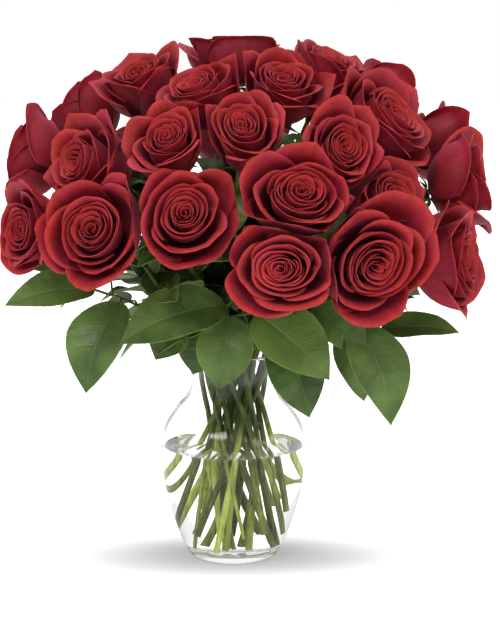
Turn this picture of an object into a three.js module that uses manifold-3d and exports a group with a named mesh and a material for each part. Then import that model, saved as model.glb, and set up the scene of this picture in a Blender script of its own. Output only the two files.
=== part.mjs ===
// Long-stemmed red roses with sprays of broad green leaves, standing in a clear glass vase of water.
// Millimetres, +Z up. The origin is the centre of the vase's flat foot, and -Y is the side the bunch faces.
// The vase is turned from one profile and open at the top. The water fills it to the widest point,
// with a plain hole for every stem. Each rose is a bloom, which is a rolled bud with petals standing
// out of it, on a stem with its hip and five sepals. Each spray is a branching stem with its leaves.
import * as THREE from "three";
import { mergeVertices } from "three/addons/utils/BufferGeometryUtils.js";
import Module from "manifold-3d";

const wasm = await Module();
wasm.setup();

// ---- Driving dimensions, in mm ----
const LATHE_SIDES = 24;
const VASE_TOP = 203;
const VASE_FLOOR = 9;
const NECK_Z = 178;
const WATER_Z = 110;
// The vase's profile as [radius, height], up its outside and down its inside.
const VASE_OUTSIDE = [
  [38, 0], [46, 9], [54.5, 28], [63, 54], [68.6, 84], [70, 110],
  [67.5, 128], [57, 146], [45, 160], [40.8, NECK_Z], [47, VASE_TOP],
];
const VASE_INSIDE = [
  [44.2, VASE_TOP], [37.8, NECK_Z], [42.2, 159], [54.2, 144], [64.6, 126.5],
  [67, 110], [65.6, 84], [60, 55], [51, 29], [40, VASE_FLOOR + 3], [0, VASE_FLOOR],
];
const RIM_CLEAR_Z = VASE_TOP + 4;
const FIT_GAP = 0.35;

// A bloom of size 1, measured from the top of its hip.
const BLOOM_MIDDLE = 32;
const BUD_SIDES = 5;
const BUD_STEPS = 8;
const BUD_WALL = [[6.5, 0.4], [24, 27]];
const BUD_R = 25;
const BUD_PITCH = 8.6;
const BUD_TOP = 50;
const BUD_WAVE = 3.5;
const BUD_FLARE = 3;
const GROOVE_TOP = 40;
const GROOVE_IN = 0.62;
const HEART_TOP = 44;
const PETALS = 5;
const PETAL_REACH = 37;
const PETAL_SPREAD = 11;
const PETAL_CURL = 9;
const PETAL_THICK = 0.9;
// A petal's rows from root to rim: its share of the reach, its height, its half angle in degrees, how far
// its sides dip below its middle, and how far opening lowers it.
const PETAL_ROOT_R = 8;
const PETAL_ROWS = [[0, 9, 8, 0, 0], [0.68, 18, 33, 0, 0], [0.91, 42, 35, 3, 0], [1, 44, 22, 5, PETAL_CURL]];
const PRESS_DEPTH = 9;
const PRESS_LEAST = 0.9;
const PRESS_RANGE = 130;

const STEM_R = 2.7;
const SPRAY_R = 1.7;
const STEM_SIDES = 5;
const HOLE_SIDES = 6;
const SPRAY_SIDES = 4;
const STEM_GAP = 1.3;
const HIP_LENGTH = 13;
const HIP_R = 6.2;
const SEPAL_REACH = 27;
const SEPAL_DEEP = 2.85;
const SEPAL_DROP = 9;
const SEPAL_DROP_VARIES = 5;
const LEAF_THICK = 0.8;
const LEAF_FOLD = 0.22;
const SMALL_LEAF_HALF = 18;
const LEAF_ROWS = [[0, 0.05], [0.33, 1], [0.68, 0.82], [1, 0.03]];
const SMALL_LEAF_ROWS = [[0, 0.07], [0.4, 1], [1, 0.04]];
const WIDEST_LEAN = 150;
const RIM_LEAN_R = 36;
const FOOT_Z = 13;
const FOOT_RISE = 62;
const FOOT_IN = 7;
const FOOT_SWING = 1.1;
const SWING_STEP = 4.7;
const SWING_START = 2.4;
const RISE_STEP = 2.1;
const RISE_START = 2;
const LEAVING_SHARE = 0.36;
const ARRIVING_SHARE = 0.3;
const WALL_CLEAR = 1.6;
const EASE_ROUNDS = 400;
const EASE_PUSH = 0.3;
const EASE_SMOOTHING = 0.02;
const EASE_MOST = 1.5;

// Each rose: the middle of its bloom, the compass turn and rise of the way it faces (turn 0 faces -Y,
// 90 faces +X), its size, how far its outer petals have opened (0 to 1), and its spin about its own axis.
const ROSES = [
  { at: [-1, 62, 480], turn: 190, rise: 74, size: 0.96, open: 0.85, spin: 20 },
  { at: [88, 15, 462], turn: 70, rise: 66, size: 0.98, open: 0.7, spin: 75 },
  { at: [142, 84, 440], turn: 122, rise: 42, size: 0.94, open: 0.8, spin: 10 },
  { at: [-84, 4, 454], turn: -50, rise: 62, size: 0.94, open: 0.8, spin: 40 },
  { at: [-25, -54, 445], turn: -36, rise: 58, size: 0.9, open: 0.75, spin: 100 },
  { at: [45, -48, 450], turn: 25, rise: 56, size: 0.94, open: 0.75, spin: 15 },
  { at: [136, -44, 421], turn: 56, rise: 36, size: 1.04, open: 0.9, spin: 60 },
  { at: [198, 58, 392], turn: 108, rise: 26, size: 0.94, open: 0.8, spin: 5 },
  { at: [-143, 62, 421], turn: -122, rise: 42, size: 0.94, open: 0.8, spin: 33 },
  { at: [-55, -110, 401], turn: -12, rise: 46, size: 0.92, open: 0.55, spin: 90 },
  { at: [12, -112, 411], turn: 2, rise: 46, size: 0.92, open: 0.6, spin: 12 },
  { at: [90, -116, 399], turn: 24, rise: 30, size: 0.9, open: 0.65, spin: 70 },
  { at: [-190, 6, 384], turn: -96, rise: 24, size: 0.98, open: 0.9, spin: 50 },
  { at: [-124, -78, 384], turn: -50, rise: 30, size: 1.04, open: 0.8, spin: 25 },
  { at: [57, -170, 363], turn: 10, rise: 22, size: 0.96, open: 0.85, spin: 80 },
  { at: [-39, -166, 346], turn: 6, rise: 24, size: 0.96, open: 0.85, spin: 0 },
  { at: [131, -104, 355], turn: 44, rise: 26, size: 0.92, open: 0.7, spin: 45 },
  { at: [214, -20, 366], turn: 76, rise: 20, size: 1.06, open: 0.85, spin: 65 },
  { at: [-180, -90, 329], turn: -48, rise: 4, size: 0.92, open: 0.75, spin: 30 },
  { at: [-115, -150, 331], turn: -14, rise: 12, size: 1.02, open: 0.9, spin: 55 },
  { at: [47, -188, 309], turn: 4, rise: 12, size: 1.0, open: 0.9, spin: 85 },
  { at: [116, -172, 312], turn: 12, rise: 12, size: 1.08, open: 1.0, spin: 18 },
  { at: [192, -88, 301], turn: 62, rise: 6, size: 1.04, open: 0.8, spin: 48 },
  { at: [-104, 122, 352], turn: -142, rise: 24, size: 1.04, open: 0.9, spin: 22 },
  { at: [0, 142, 398], turn: 178, rise: 34, size: 1.04, open: 0.9, spin: 66 },
  { at: [108, 134, 350], turn: 144, rise: 22, size: 1.04, open: 0.9, spin: 38 },
];

// A leaf runs from its base, which is near its stem, to its tip. half is its half width, faces is the
// turn and rise that its upper side faces, and bow is how far its middle stands out.
// These are the leaves left on rose stems, each with the number of its rose.
const ROSE_LEAVES = [
  { rose: 11, base: [2, -70, 372], tip: [-2, -96, 322], half: 17, faces: [0, 20], bow: 5 },
  { rose: 7, base: [108, -38, 372], tip: [152, -58, 352], half: 15, faces: [30, 55], bow: 4 },
  { rose: 16, base: [-44, -92, 318], tip: [-86, -104, 300], half: 15, faces: [-20, 50], bow: 4 },
  { rose: 15, base: [52, -88, 320], tip: [84, -118, 332], half: 15, faces: [0, 60], bow: 4 },
  { rose: 14, base: [-78, -48, 330], tip: [-92, -96, 344], half: 15, faces: [-30, 60], bow: 4 },
  { rose: 23, base: [112, -46, 270], tip: [156, -66, 264], half: 15, faces: [40, 50], bow: 4 },
  { rose: 9, base: [-84, 34, 356], tip: [-130, 26, 344], half: 16, faces: [-90, 50], bow: 4 },
  { rose: 8, base: [104, 34, 320], tip: [152, 30, 330], half: 16, faces: [90, 50], bow: 4 },
  { rose: 25, base: [4, 66, 340], tip: [30, 104, 326], half: 17, faces: [170, 45], bow: 4 },
  { rose: 24, base: [-58, 72, 300], tip: [-86, 108, 286], half: 17, faces: [-150, 45], bow: 4 },
  { rose: 26, base: [62, 76, 300], tip: [70, 116, 290], half: 17, faces: [160, 45], bow: 4 },
  { rose: 4, base: [-52, 0, 392], tip: [-84, -28, 388], half: 15, faces: [-40, 60], bow: 4 },
];

// The leaf sprays, whose stems end at their first leaf.
const SPRAYS = [
  { name: "left", leaves: [
    { base: [-126, -75, 273], tip: [-207, -88, 262], half: 22, faces: [-20, 45], bow: 8 },
    { base: [-102, -92, 264], tip: [-132, -122, 187], half: 29, faces: [-25, 20], bow: 9 },
    { base: [-118, -40, 280], tip: [-189, -56, 292], half: 17, faces: [-30, 55], bow: 6 },
    { base: [-96, -30, 256], tip: [-150, 10, 210], half: 24, faces: [-100, 40], bow: 8 },
  ] },
  { name: "front_left", leaves: [
    { base: [-6, -108, 264], tip: [-99, -135, 234], half: 29, faces: [-5, 42], bow: 10 },
    { base: [-46, -88, 246], tip: [-70, -100, 213], half: 20, faces: [-20, 15], bow: 5 },
    { base: [-24, -80, 238], tip: [-36, -84, 196], half: 20, faces: [-12, 5], bow: 5 },
  ] },
  { name: "front", leaves: [
    { base: [-1, -108, 254], tip: [-12, -122, 190], half: 26, faces: [-4, 22], bow: 7 },
    { base: [22, -112, 256], tip: [87, -142, 205], half: 31, faces: [8, 35], bow: 9 },
    { base: [40, -92, 232], tip: [70, -112, 162], half: 26, faces: [10, 12], bow: 7 },
  ] },
  { name: "right", leaves: [
    { base: [72, -94, 258], tip: [122, -112, 223], half: 21, faces: [15, 30], bow: 6 },
    { base: [111, -92, 244], tip: [144, -132, 161], half: 29, faces: [22, 22], bow: 10 },
    { base: [98, -66, 228], tip: [123, -78, 170], half: 20, faces: [30, 5], bow: 5 },
    { base: [137, -62, 234], tip: [207, -84, 236], half: 17, faces: [12, 50], bow: 6 },
    { base: [126, -40, 244], tip: [168, -52, 264], half: 16, faces: [40, 60], bow: 5 },
  ] },
  { name: "back_right", leaves: [
    { base: [92, 66, 262], tip: [176, 84, 232], half: 27, faces: [110, 45], bow: 9 },
    { base: [70, 92, 264], tip: [112, 172, 236], half: 27, faces: [150, 40], bow: 9 },
    { base: [46, 86, 244], tip: [30, 124, 176], half: 27, faces: [170, 20], bow: 8 },
    { base: [84, 58, 240], tip: [128, 58, 176], half: 24, faces: [105, 20], bow: 7 },
  ] },
  { name: "back_left", leaves: [
    { base: [-92, 66, 262], tip: [-176, 78, 236], half: 27, faces: [-110, 45], bow: 9 },
    { base: [-70, 92, 264], tip: [-98, 174, 240], half: 27, faces: [-155, 40], bow: 9 },
    { base: [-46, 86, 244], tip: [-46, 130, 172], half: 27, faces: [180, 20], bow: 8 },
    { base: [-84, 62, 240], tip: [-132, 70, 178], half: 24, faces: [-110, 20], bow: 7 },
  ] },
];

// ---- Materials ----
function material(color, roughness, opacity = 1) {
  const transparent = opacity < 1;
  return new THREE.MeshStandardMaterial({ color, roughness, metalness: 0, opacity, transparent });
}

const glass = material("#eef5f4", 0.03, 0.3);
const water = material("#e4f0ef", 0.02, 0.35);
const petal = material("#9c1420", 0.6);
const stemGreen = material("#6f8a3a", 0.5);
const leafGreen = material("#3c6a2e", 0.42);

// ---- Small helpers ----
const vec = (x, y, z) => new THREE.Vector3(x, y, z);
const clamp = THREE.MathUtils.clamp;
const radians = THREE.MathUtils.degToRad;

// The unit vector that faces a compass turn and a rise, both in degrees.
function facing(turn, rise) {
  const a = radians(turn);
  const e = radians(rise);
  return vec(Math.sin(a) * Math.cos(e), -Math.cos(a) * Math.cos(e), Math.sin(e));
}

// The radius at height z of a profile that runs downwards.
function radiusAt(profile, z) {
  for (let i = 1; i < profile.length; i++) {
    const [r0, z0] = profile[i - 1];
    const [r1, z1] = profile[i];
    if (z >= z1) return r0 + ((r1 - r0) * clamp(z0 - z, 0, z0 - z1)) / (z0 - z1);
  }
  return profile.at(-1)[0];
}

function solidOf(geometry) {
  const bare = geometry.clone();
  bare.deleteAttribute("normal");
  bare.deleteAttribute("uv");
  const merged = mergeVertices(bare, 1e-4);
  return new wasm.Manifold(
    new wasm.Mesh({
      numProp: 3,
      vertProperties: new Float32Array(merged.attributes.position.array),
      triVerts: new Uint32Array(merged.index.array),
    }),
  );
}

function geometryOf(solid) {
  const mesh = solid.getMesh();
  const geometry = new THREE.BufferGeometry();
  geometry.setAttribute("position", new THREE.BufferAttribute(mesh.vertProperties, mesh.numProp));
  geometry.setIndex(new THREE.BufferAttribute(mesh.triVerts, 1));
  return geometry.toNonIndexed();
}

// The largest single body of a solid, so that a cut leaves no loose scrap.
function mainBody(solid) {
  return solid.decompose().sort((a, b) => b.volume() - a.volume())[0];
}

function indexed(points, triangles) {
  const geometry = new THREE.BufferGeometry();
  geometry.setFromPoints(points);
  geometry.setIndex(triangles);
  return geometry;
}

// A path through given points, with one even step of its parameter from each point to the next.
class PointPath extends THREE.Curve {
  constructor(points) {
    super();
    this.points = points;
  }

  getPoint(t, target = vec(0, 0, 0)) {
    const k = t * (this.points.length - 1);
    const i = Math.min(this.points.length - 2, Math.floor(k));
    return target.lerpVectors(this.points[i], this.points[i + 1], k - i);
  }

  getPointAt(u, target) {
    return this.getPoint(u, target);
  }

  getTangentAt(u, target = vec(0, 0, 0)) {
    const last = this.points.length - 1;
    const k = Math.round(u * last);
    const next = this.points[Math.min(last, k + 1)];
    return target.subVectors(next, this.points[Math.max(0, k - 1)]).normalize();
  }
}

// A round bar through a path of points.
function bar(path, radius, sides) {
  const outline = new THREE.Shape();
  for (let i = 0; i < sides; i++) {
    const a = (2 * Math.PI * i) / sides;
    if (i === 0) outline.moveTo(radius, 0);
    else outline.lineTo(radius * Math.cos(a), radius * Math.sin(a));
  }
  const options = { steps: path.length - 1, extrudePath: new PointPath(path), bevelEnabled: false };
  return solidOf(new THREE.ExtrudeGeometry(outline, options));
}

// A blade of even thickness on a grid of points, rows from its root to its tip.
function blade(grid, thickness) {
  const rows = grid.length;
  const columns = grid[0].length;
  const front = [];
  const back = [];
  for (let r = 0; r < rows; r++) {
    for (let c = 0; c < columns; c++) {
      const along = grid[Math.min(rows - 1, r + 1)][c].clone().sub(grid[Math.max(0, r - 1)][c]);
      const across = grid[r][Math.min(columns - 1, c + 1)].clone().sub(grid[r][Math.max(0, c - 1)]);
      const normal = across.cross(along).normalize();
      front.push(grid[r][c].clone().addScaledVector(normal, thickness / 2));
      back.push(grid[r][c].clone().addScaledVector(normal, -thickness / 2));
    }
  }
  const count = rows * columns;
  const triangles = [];
  const quad = (a, b, c, d) => triangles.push(a, b, c, a, c, d);
  for (let r = 0; r + 1 < rows; r++) {
    for (let c = 0; c + 1 < columns; c++) {
      const a = r * columns + c;
      quad(a, a + 1, a + columns + 1, a + columns);
      triangles.push(count + a, count + a + columns + 1, count + a + 1);
      triangles.push(count + a, count + a + columns, count + a + columns + 1);
    }
  }
  for (let c = 0; c + 1 < columns; c++) {
    quad(c, count + c, count + c + 1, c + 1);
    const top = (rows - 1) * columns + c;
    quad(top, top + 1, count + top + 1, count + top);
  }
  for (let r = 0; r + 1 < rows; r++) {
    const left = r * columns;
    quad(left, left + columns, count + left + columns, count + left);
    const right = left + columns - 1;
    quad(right, count + right, count + right + columns, right + columns);
  }
  return solidOf(indexed([...front, ...back], triangles));
}

// ---- Stems: where they run ----
// A stem stands on its foot, runs straight to the rim of the vase and then curves out to its bloom.
function stemPath(foot, rim, top, axis, steps) {
  const up = rim.clone().sub(foot).normalize();
  const reach = top.distanceTo(rim);
  const leaving = rim.clone().addScaledVector(up, reach * LEAVING_SHARE);
  const arriving = top.clone().addScaledVector(axis, -reach * ARRIVING_SHARE);
  return [foot, ...new THREE.CubicBezierCurve3(rim, leaving, arriving, top).getPoints(steps)];
}

// Where two segments, a to b and c to d, come nearest: how far along each, and what parts them.
function nearest(a, b, c, d) {
  const u = b.clone().sub(a);
  const v = d.clone().sub(c);
  const w = a.clone().sub(c);
  const uu = u.dot(u);
  const uv = u.dot(v);
  const vv = v.dot(v);
  const uw = u.dot(w);
  const vw = v.dot(w);
  const det = uu * vv - uv * uv;
  let s = det > 1e-9 ? clamp((uv * vw - vv * uw) / det, 0, 1) : 0.5;
  const t = clamp((uv * s + vw) / vv, 0, 1);
  s = clamp((uv * t - uw) / uu, 0, 1);
  return { s, t, apart: w.addScaledVector(u, s).addScaledVector(v, -t) };
}

// Brings a point of a stem in from the glass, and returns how far it moved.
function keepInside(stem, p) {
  const room = radiusAt(VASE_INSIDE, p.z) - stem.radius * 1.3 - WALL_CLEAR;
  const out = Math.hypot(p.x, p.y);
  const move = vec(p.x, p.y, 0).multiplyScalar(Math.min(0, room / out - 1));
  p.add(move);
  return move;
}

// Pushes the points of two stems' segments apart where the segments come nearer than they may.
function pushApart(stemA, stemB, pushA, pushB) {
  const need = stemA.radius + stemB.radius + STEM_GAP;
  for (let m = 0; m + 1 < stemA.path.length; m++) {
    for (let n = 0; n + 1 < stemB.path.length; n++) {
      const { s, t, apart } = nearest(stemA.path[m], stemA.path[m + 1], stemB.path[n], stemB.path[n + 1]);
      const distance = apart.length();
      if (distance >= need) continue;
      const step = apart.multiplyScalar((EASE_PUSH * (need - distance)) / Math.max(distance, 0.01));
      pushA[m].addScaledVector(step, 1 - s);
      pushA[m + 1].addScaledVector(step, s);
      pushB[n].addScaledVector(step, t - 1);
      pushB[n + 1].addScaledVector(step, -t);
    }
  }
}

// Eases the stems apart until each is clear of the others and inside the glass. A path's last two
// points hold its bloom, so they stay where they are. The foot and the rim point keep their heights.
function easeApart(stems) {
  for (let round = 0; round < EASE_ROUNDS; round++) {
    const pushes = stems.map((stem) => stem.path.map(() => vec(0, 0, 0)));
    for (let i = 0; i < stems.length; i++) {
      for (let j = i + 1; j < stems.length; j++) pushApart(stems[i], stems[j], pushes[i], pushes[j]);
    }
    stems.forEach((stem, i) => {
      const [foot, rim] = stem.path;
      for (let k = 0; k + 2 < stem.path.length; k++) {
        const p = stem.path[k];
        const move = pushes[i][k];
        if (k <= 1) {
          p.add(move.setZ(0).clampLength(0, EASE_MOST));
          keepInside(stem, p);
        } else {
          const middle = stem.path[k - 1].clone().lerp(stem.path[k + 1], 0.5);
          p.add(move.addScaledVector(middle.sub(p), EASE_SMOOTHING).clampLength(0, EASE_MOST));
        }
      }
      rim.add(keepInside(stem, foot.clone().lerp(rim, (NECK_Z - foot.z) / (rim.z - foot.z))));
    });
  }
}

// ---- Roses ----
function roseFrame(rose) {
  const axis = facing(rose.turn, rose.rise);
  const turned = new THREE.Quaternion().setFromUnitVectors(vec(0, 0, 1), axis);
  turned.multiply(new THREE.Quaternion().setFromAxisAngle(vec(0, 0, 1), radians(rose.spin)));
  const middle = vec(...rose.at);
  return { axis, turned, middle, base: middle.clone().addScaledVector(axis, -BLOOM_MIDDLE * rose.size) };
}

// The flat limits between a bloom and its neighbours, in the bloom's own frame.
function pressLimits(index) {
  const own = ROSES[index];
  const { turned, middle, base } = roseFrame(own);
  const back = turned.clone().invert();
  const near = ROSES.filter((other) => other !== own && vec(...other.at).distanceTo(middle) < PRESS_RANGE);
  return near.map((other) => {
    const gap = vec(...other.at).sub(middle);
    const share = own.size / (own.size + other.size);
    const point = middle.clone().addScaledVector(gap, share).sub(base).applyQuaternion(back);
    return { point, normal: gap.normalize().applyQuaternion(back) };
  });
}

// Petals press flat where blooms meet: a point near a limit is eased back to its own side of it.
function press(p, limits) {
  for (let pass = 0; pass < 3; pass++) {
    for (const { point, normal } of limits) {
      const depth = point.clone().sub(p).dot(normal);
      if (depth >= PRESS_DEPTH) continue;
      const eased = Math.max(PRESS_LEAST, PRESS_DEPTH * Math.exp(depth / PRESS_DEPTH - 1));
      if (eased > depth) p.addScaledVector(normal, depth - eased);
    }
  }
  return p;
}

// The rolled heart of a bloom: a cup-shaped wall whose rim runs inwards as one spiral ridge, with
// its first turn flared and notched like the whorl of petals that it stands for.
function bud(size, limits) {
  const points = [];
  const add = (step, radius, height) => {
    const a = (2 * Math.PI * step) / BUD_SIDES;
    const p = vec(radius * Math.cos(a), radius * Math.sin(a), height).multiplyScalar(size);
    return points.push(press(p, limits)) - 1;
  };
  const ring = ([radius, height]) => Array.from({ length: BUD_SIDES }, (_, i) => add(i, radius, height));
  const [foot, brim] = BUD_WALL.map(ring);
  const pitch = BUD_PITCH / BUD_SIDES;
  const ridge = Array.from({ length: BUD_STEPS + BUD_SIDES + 1 }, (_, m) => {
    const flare = BUD_FLARE * Math.max(0, 1 - m / BUD_SIDES);
    return add(m, BUD_R - pitch * m + flare, BUD_TOP - flare + BUD_WAVE * Math.sin(m * 1.9));
  });
  const groove = Array.from({ length: BUD_STEPS + 1 }, (_, m) =>
    add(m, BUD_R - pitch * (m + BUD_SIDES * GROOVE_IN), GROOVE_TOP),
  );
  const heart = add(0, 0, HEART_TOP);
  const triangles = [];
  const quad = (a, b, c, d) => triangles.push(a, b, c, a, c, d);
  for (let i = 0; i < BUD_SIDES; i++) {
    const j = (i + 1) % BUD_SIDES;
    quad(foot[i], foot[j], brim[j], brim[i]);
    quad(brim[i], brim[j], ridge[i + 1], ridge[i]);
    if (i > 0 && j > 0) triangles.push(foot[0], foot[j], foot[i]);
  }
  quad(brim[0], ridge[0], groove[0], ridge[BUD_SIDES]);
  for (let m = 0; m < BUD_STEPS; m++) {
    const inner = m + BUD_SIDES;
    quad(ridge[m], ridge[m + 1], groove[m + 1], groove[m]);
    quad(groove[m], groove[m + 1], ridge[inner + 1], ridge[inner]);
  }
  for (let m = BUD_STEPS; m < BUD_STEPS + BUD_SIDES; m++) triangles.push(ridge[m], ridge[m + 1], heart);
  triangles.push(ridge.at(-1), groove.at(-1), heart, groove.at(-1), ridge[BUD_STEPS], heart);
  return solidOf(indexed(points, triangles));
}

// One petal, from its root inside the bud to its rim. Its sides curl in a little, and one of them laps
// over the next petal while the other goes under.
function petalSolid(turn, rose, limits) {
  const reach = PETAL_REACH + PETAL_SPREAD * rose.open;
  const grid = PETAL_ROWS.map(([share, height, half, dip, lowered]) =>
    [-1, 0, 1].map((u) => {
      const a = radians(turn + half * u);
      const r = Math.max(PETAL_ROOT_R, reach * share) * (1 - 0.08 * u * u + 0.05 * u);
      const z = height - lowered * rose.open - dip * u * u;
      return press(vec(r * Math.cos(a), r * Math.sin(a), z).multiplyScalar(rose.size), limits);
    }),
  );
  return blade(grid, PETAL_THICK);
}

// A named mesh on a rose's own frame, from a solid built in that frame.
function roseMesh(kind, index, solid, skin) {
  const { turned, base } = roseFrame(ROSES[index]);
  const mesh = new THREE.Mesh(geometryOf(mainBody(solid)), skin);
  mesh.name = `rose_${kind}_${String(index + 1).padStart(2, "0")}`;
  mesh.position.copy(base);
  mesh.quaternion.copy(turned);
  return mesh;
}

function bloomMesh(index) {
  const limits = pressLimits(index);
  let solid = bud(ROSES[index].size, limits);
  for (let k = 0; k < PETALS; k++) {
    solid = solid.add(petalSolid((360 * (k + 0.5)) / PETALS, ROSES[index], limits));
  }
  return roseMesh("bloom", index, solid, petal);
}

// The hip under a bloom, with a sepal drawn out of each of its five upper sides to a point.
function hip(index) {
  const points = [];
  const add = (turn, radius, height) => points.push(facing(turn, 0).multiplyScalar(radius).setZ(height)) - 1;
  const ring = (radius, height) => [0, 1, 2, 3, 4].map((i) => add(72 * i, radius, height));
  const low = ring(STEM_R + 0.4, -HIP_LENGTH);
  const mid = ring(HIP_R, -FIT_GAP - SEPAL_DEEP);
  const top = ring(HIP_R, -FIT_GAP);
  const triangles = [];
  for (let i = 0; i < 5; i++) {
    const j = (i + 1) % 5;
    const drop = SEPAL_DROP + SEPAL_DROP_VARIES * Math.sin(index + 2.4 * i);
    const tip = add(72 * i + 36, SEPAL_REACH - drop * 0.3, -drop);
    triangles.push(low[i], low[j], mid[j], low[i], mid[j], mid[i]);
    triangles.push(mid[i], mid[j], tip, mid[j], top[j], tip, top[j], top[i], tip, top[i], mid[i], tip);
    if (i > 0 && j > 0) triangles.push(low[0], low[j], low[i], top[0], top[i], top[j]);
  }
  return solidOf(indexed(points, triangles));
}

function roseStemMesh(index, path) {
  const { turned, base } = roseFrame(ROSES[index]);
  const back = turned.clone().invert();
  const ownFrame = (p) => p.clone().sub(base).applyQuaternion(back);
  const insideHip = vec(0, 0, 2 - HIP_LENGTH);
  let solid = bar([...path.slice(0, -1).map(ownFrame), insideHip], STEM_R, STEM_SIDES).add(hip(index));
  for (const leaf of ROSE_LEAVES.filter(({ rose }) => rose === index + 1)) {
    const grid = leafGrid(leaf, pointNear(path, vec(...leaf.base)));
    solid = solid.add(blade(grid.map((row) => row.map(ownFrame)), LEAF_THICK));
  }
  return roseMesh("stem", index, solid, stemGreen);
}

// ---- Leaves ----
// The point of a path above the vase that is nearest to a given point.
function pointNear(path, p) {
  let best = path.at(-1);
  for (let k = 1; k + 1 < path.length; k++) {
    const span = new THREE.Line3(path[k], path[k + 1]);
    const q = span.closestPointToPoint(p, true, vec(0, 0, 0));
    if (q.z > VASE_TOP + 8 && q.distanceTo(p) < best.distanceTo(p)) best = q;
  }
  return best;
}

// A leaf is folded along its midrib: a narrow stalk from the stem, then the leaf.
function leafGrid(leaf, from) {
  const base = vec(...leaf.base);
  const along = vec(...leaf.tip).sub(base);
  const length = along.length();
  along.normalize();
  const side = along.clone().cross(facing(...leaf.faces)).normalize();
  const normal = side.clone().cross(along);
  const rows = leaf.half < SMALL_LEAF_HALF ? SMALL_LEAF_ROWS : LEAF_ROWS;
  const grid = rows.map(([t, width]) => {
    const half = leaf.half * width;
    const spine = base.clone().addScaledVector(along, length * t);
    return [-1, 0, 1].map((u) => {
      const raised = 4 * leaf.bow * t * (1 - t) + LEAF_FOLD * Math.abs(u) * half;
      return spine.clone().addScaledVector(side, u * half).addScaledVector(normal, raised);
    });
  });
  return [[-1, 0, 1].map((u) => from.clone().addScaledVector(side, u)), ...grid];
}

// Each leaf's stalk leaves the point of the spray's stem that is nearest to the leaf.
function sprayMesh(spray, path) {
  let solid = bar(path, SPRAY_R, SPRAY_SIDES);
  const forks = [...path.slice(0, -1), path.at(-2).clone().lerp(path.at(-1), 0.94)];
  for (const leaf of spray.leaves) {
    solid = solid.add(blade(leafGrid(leaf, pointNear(forks, vec(...leaf.base))), LEAF_THICK));
  }
  const mesh = new THREE.Mesh(geometryOf(mainBody(solid)), leafGreen);
  mesh.name = "leaf_spray_" + spray.name;
  return mesh;
}

// ---- Vase and water ----
function turnedSolid(profile) {
  const outline = profile.map(([r, z]) => new THREE.Vector2(r, z));
  return solidOf(new THREE.LatheGeometry(outline, LATHE_SIDES).rotateX(Math.PI / 2));
}

function vaseMesh() {
  const mesh = new THREE.Mesh(geometryOf(turnedSolid([[0, 0], ...VASE_OUTSIDE, ...VASE_INSIDE])), glass);
  mesh.name = "vase_glass";
  return mesh;
}

// The water stands a fit gap in from the glass and round every stem.
function waterMesh(stems) {
  const wetted = VASE_INSIDE.filter(([, z]) => z <= WATER_Z).reverse();
  const side = wetted.map(([r, z], i) => [Math.max(0, r - FIT_GAP), i > 1 ? z : z + FIT_GAP]);
  let solid = turnedSolid([...side, [0, WATER_Z]]);
  for (const { path, radius } of stems) {
    const [foot, rim] = path;
    const along = rim.clone().sub(foot).setLength(FIT_GAP);
    const holeRadius = (radius + FIT_GAP) / Math.cos(Math.PI / HOLE_SIDES);
    solid = solid.subtract(bar([foot.clone().sub(along), rim], holeRadius, HOLE_SIDES));
  }
  const mesh = new THREE.Mesh(geometryOf(mainBody(solid)), water);
  mesh.name = "water";
  return mesh;
}

// ---- The whole bunch ----
// Each stem leaves the rim on its bloom's side and has its foot across the vase, a little to one side
// or the other. The stems that lean most end higher up against the glass.
function plannedStem(index, top, axis, radius, sides, steps) {
  const lean = clamp(Math.hypot(top.x, top.y) / WIDEST_LEAN, 0.15, 1);
  const around = Math.atan2(top.y, top.x);
  const rim = vec(Math.cos(around), Math.sin(around), 0).multiplyScalar(RIM_LEAN_R * lean).setZ(RIM_CLEAR_Z);
  const across = around + Math.PI + FOOT_SWING * Math.sin(SWING_STEP * index + SWING_START);
  const z = FOOT_Z + FOOT_RISE * lean * (0.5 + 0.5 * Math.sin(RISE_STEP * index + RISE_START)) ** 2;
  const out = (radiusAt(VASE_INSIDE, z) - FOOT_IN) * (0.3 + 0.7 * lean);
  const foot = vec(Math.cos(across), Math.sin(across), 0).multiplyScalar(out).setZ(z);
  return { radius, sides, path: stemPath(foot, rim, top, axis, steps) };
}

function plannedStems() {
  const planned = ROSES.map((rose, i) => {
    const { axis, base } = roseFrame(rose);
    return plannedStem(i, base.clone().addScaledVector(axis, -HIP_LENGTH), axis, STEM_R, STEM_SIDES, 4);
  });
  SPRAYS.forEach((spray, i) => {
    const end = vec(...spray.leaves[0].base);
    const axis = vec(end.x, end.y, 0).normalize().setZ(0.6).normalize();
    planned.push(plannedStem(ROSES.length + i, end, axis, SPRAY_R, SPRAY_SIDES, 3));
  });
  easeApart(planned);
  return planned;
}

const stems = plannedStems();
const group = new THREE.Group();
group.add(vaseMesh(), waterMesh(stems));
ROSES.forEach((rose, i) => group.add(bloomMesh(i), roseStemMesh(i, stems[i].path)));
SPRAYS.forEach((spray, i) => group.add(sprayMesh(spray, stems[ROSES.length + i].path)));

export default group;
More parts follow.
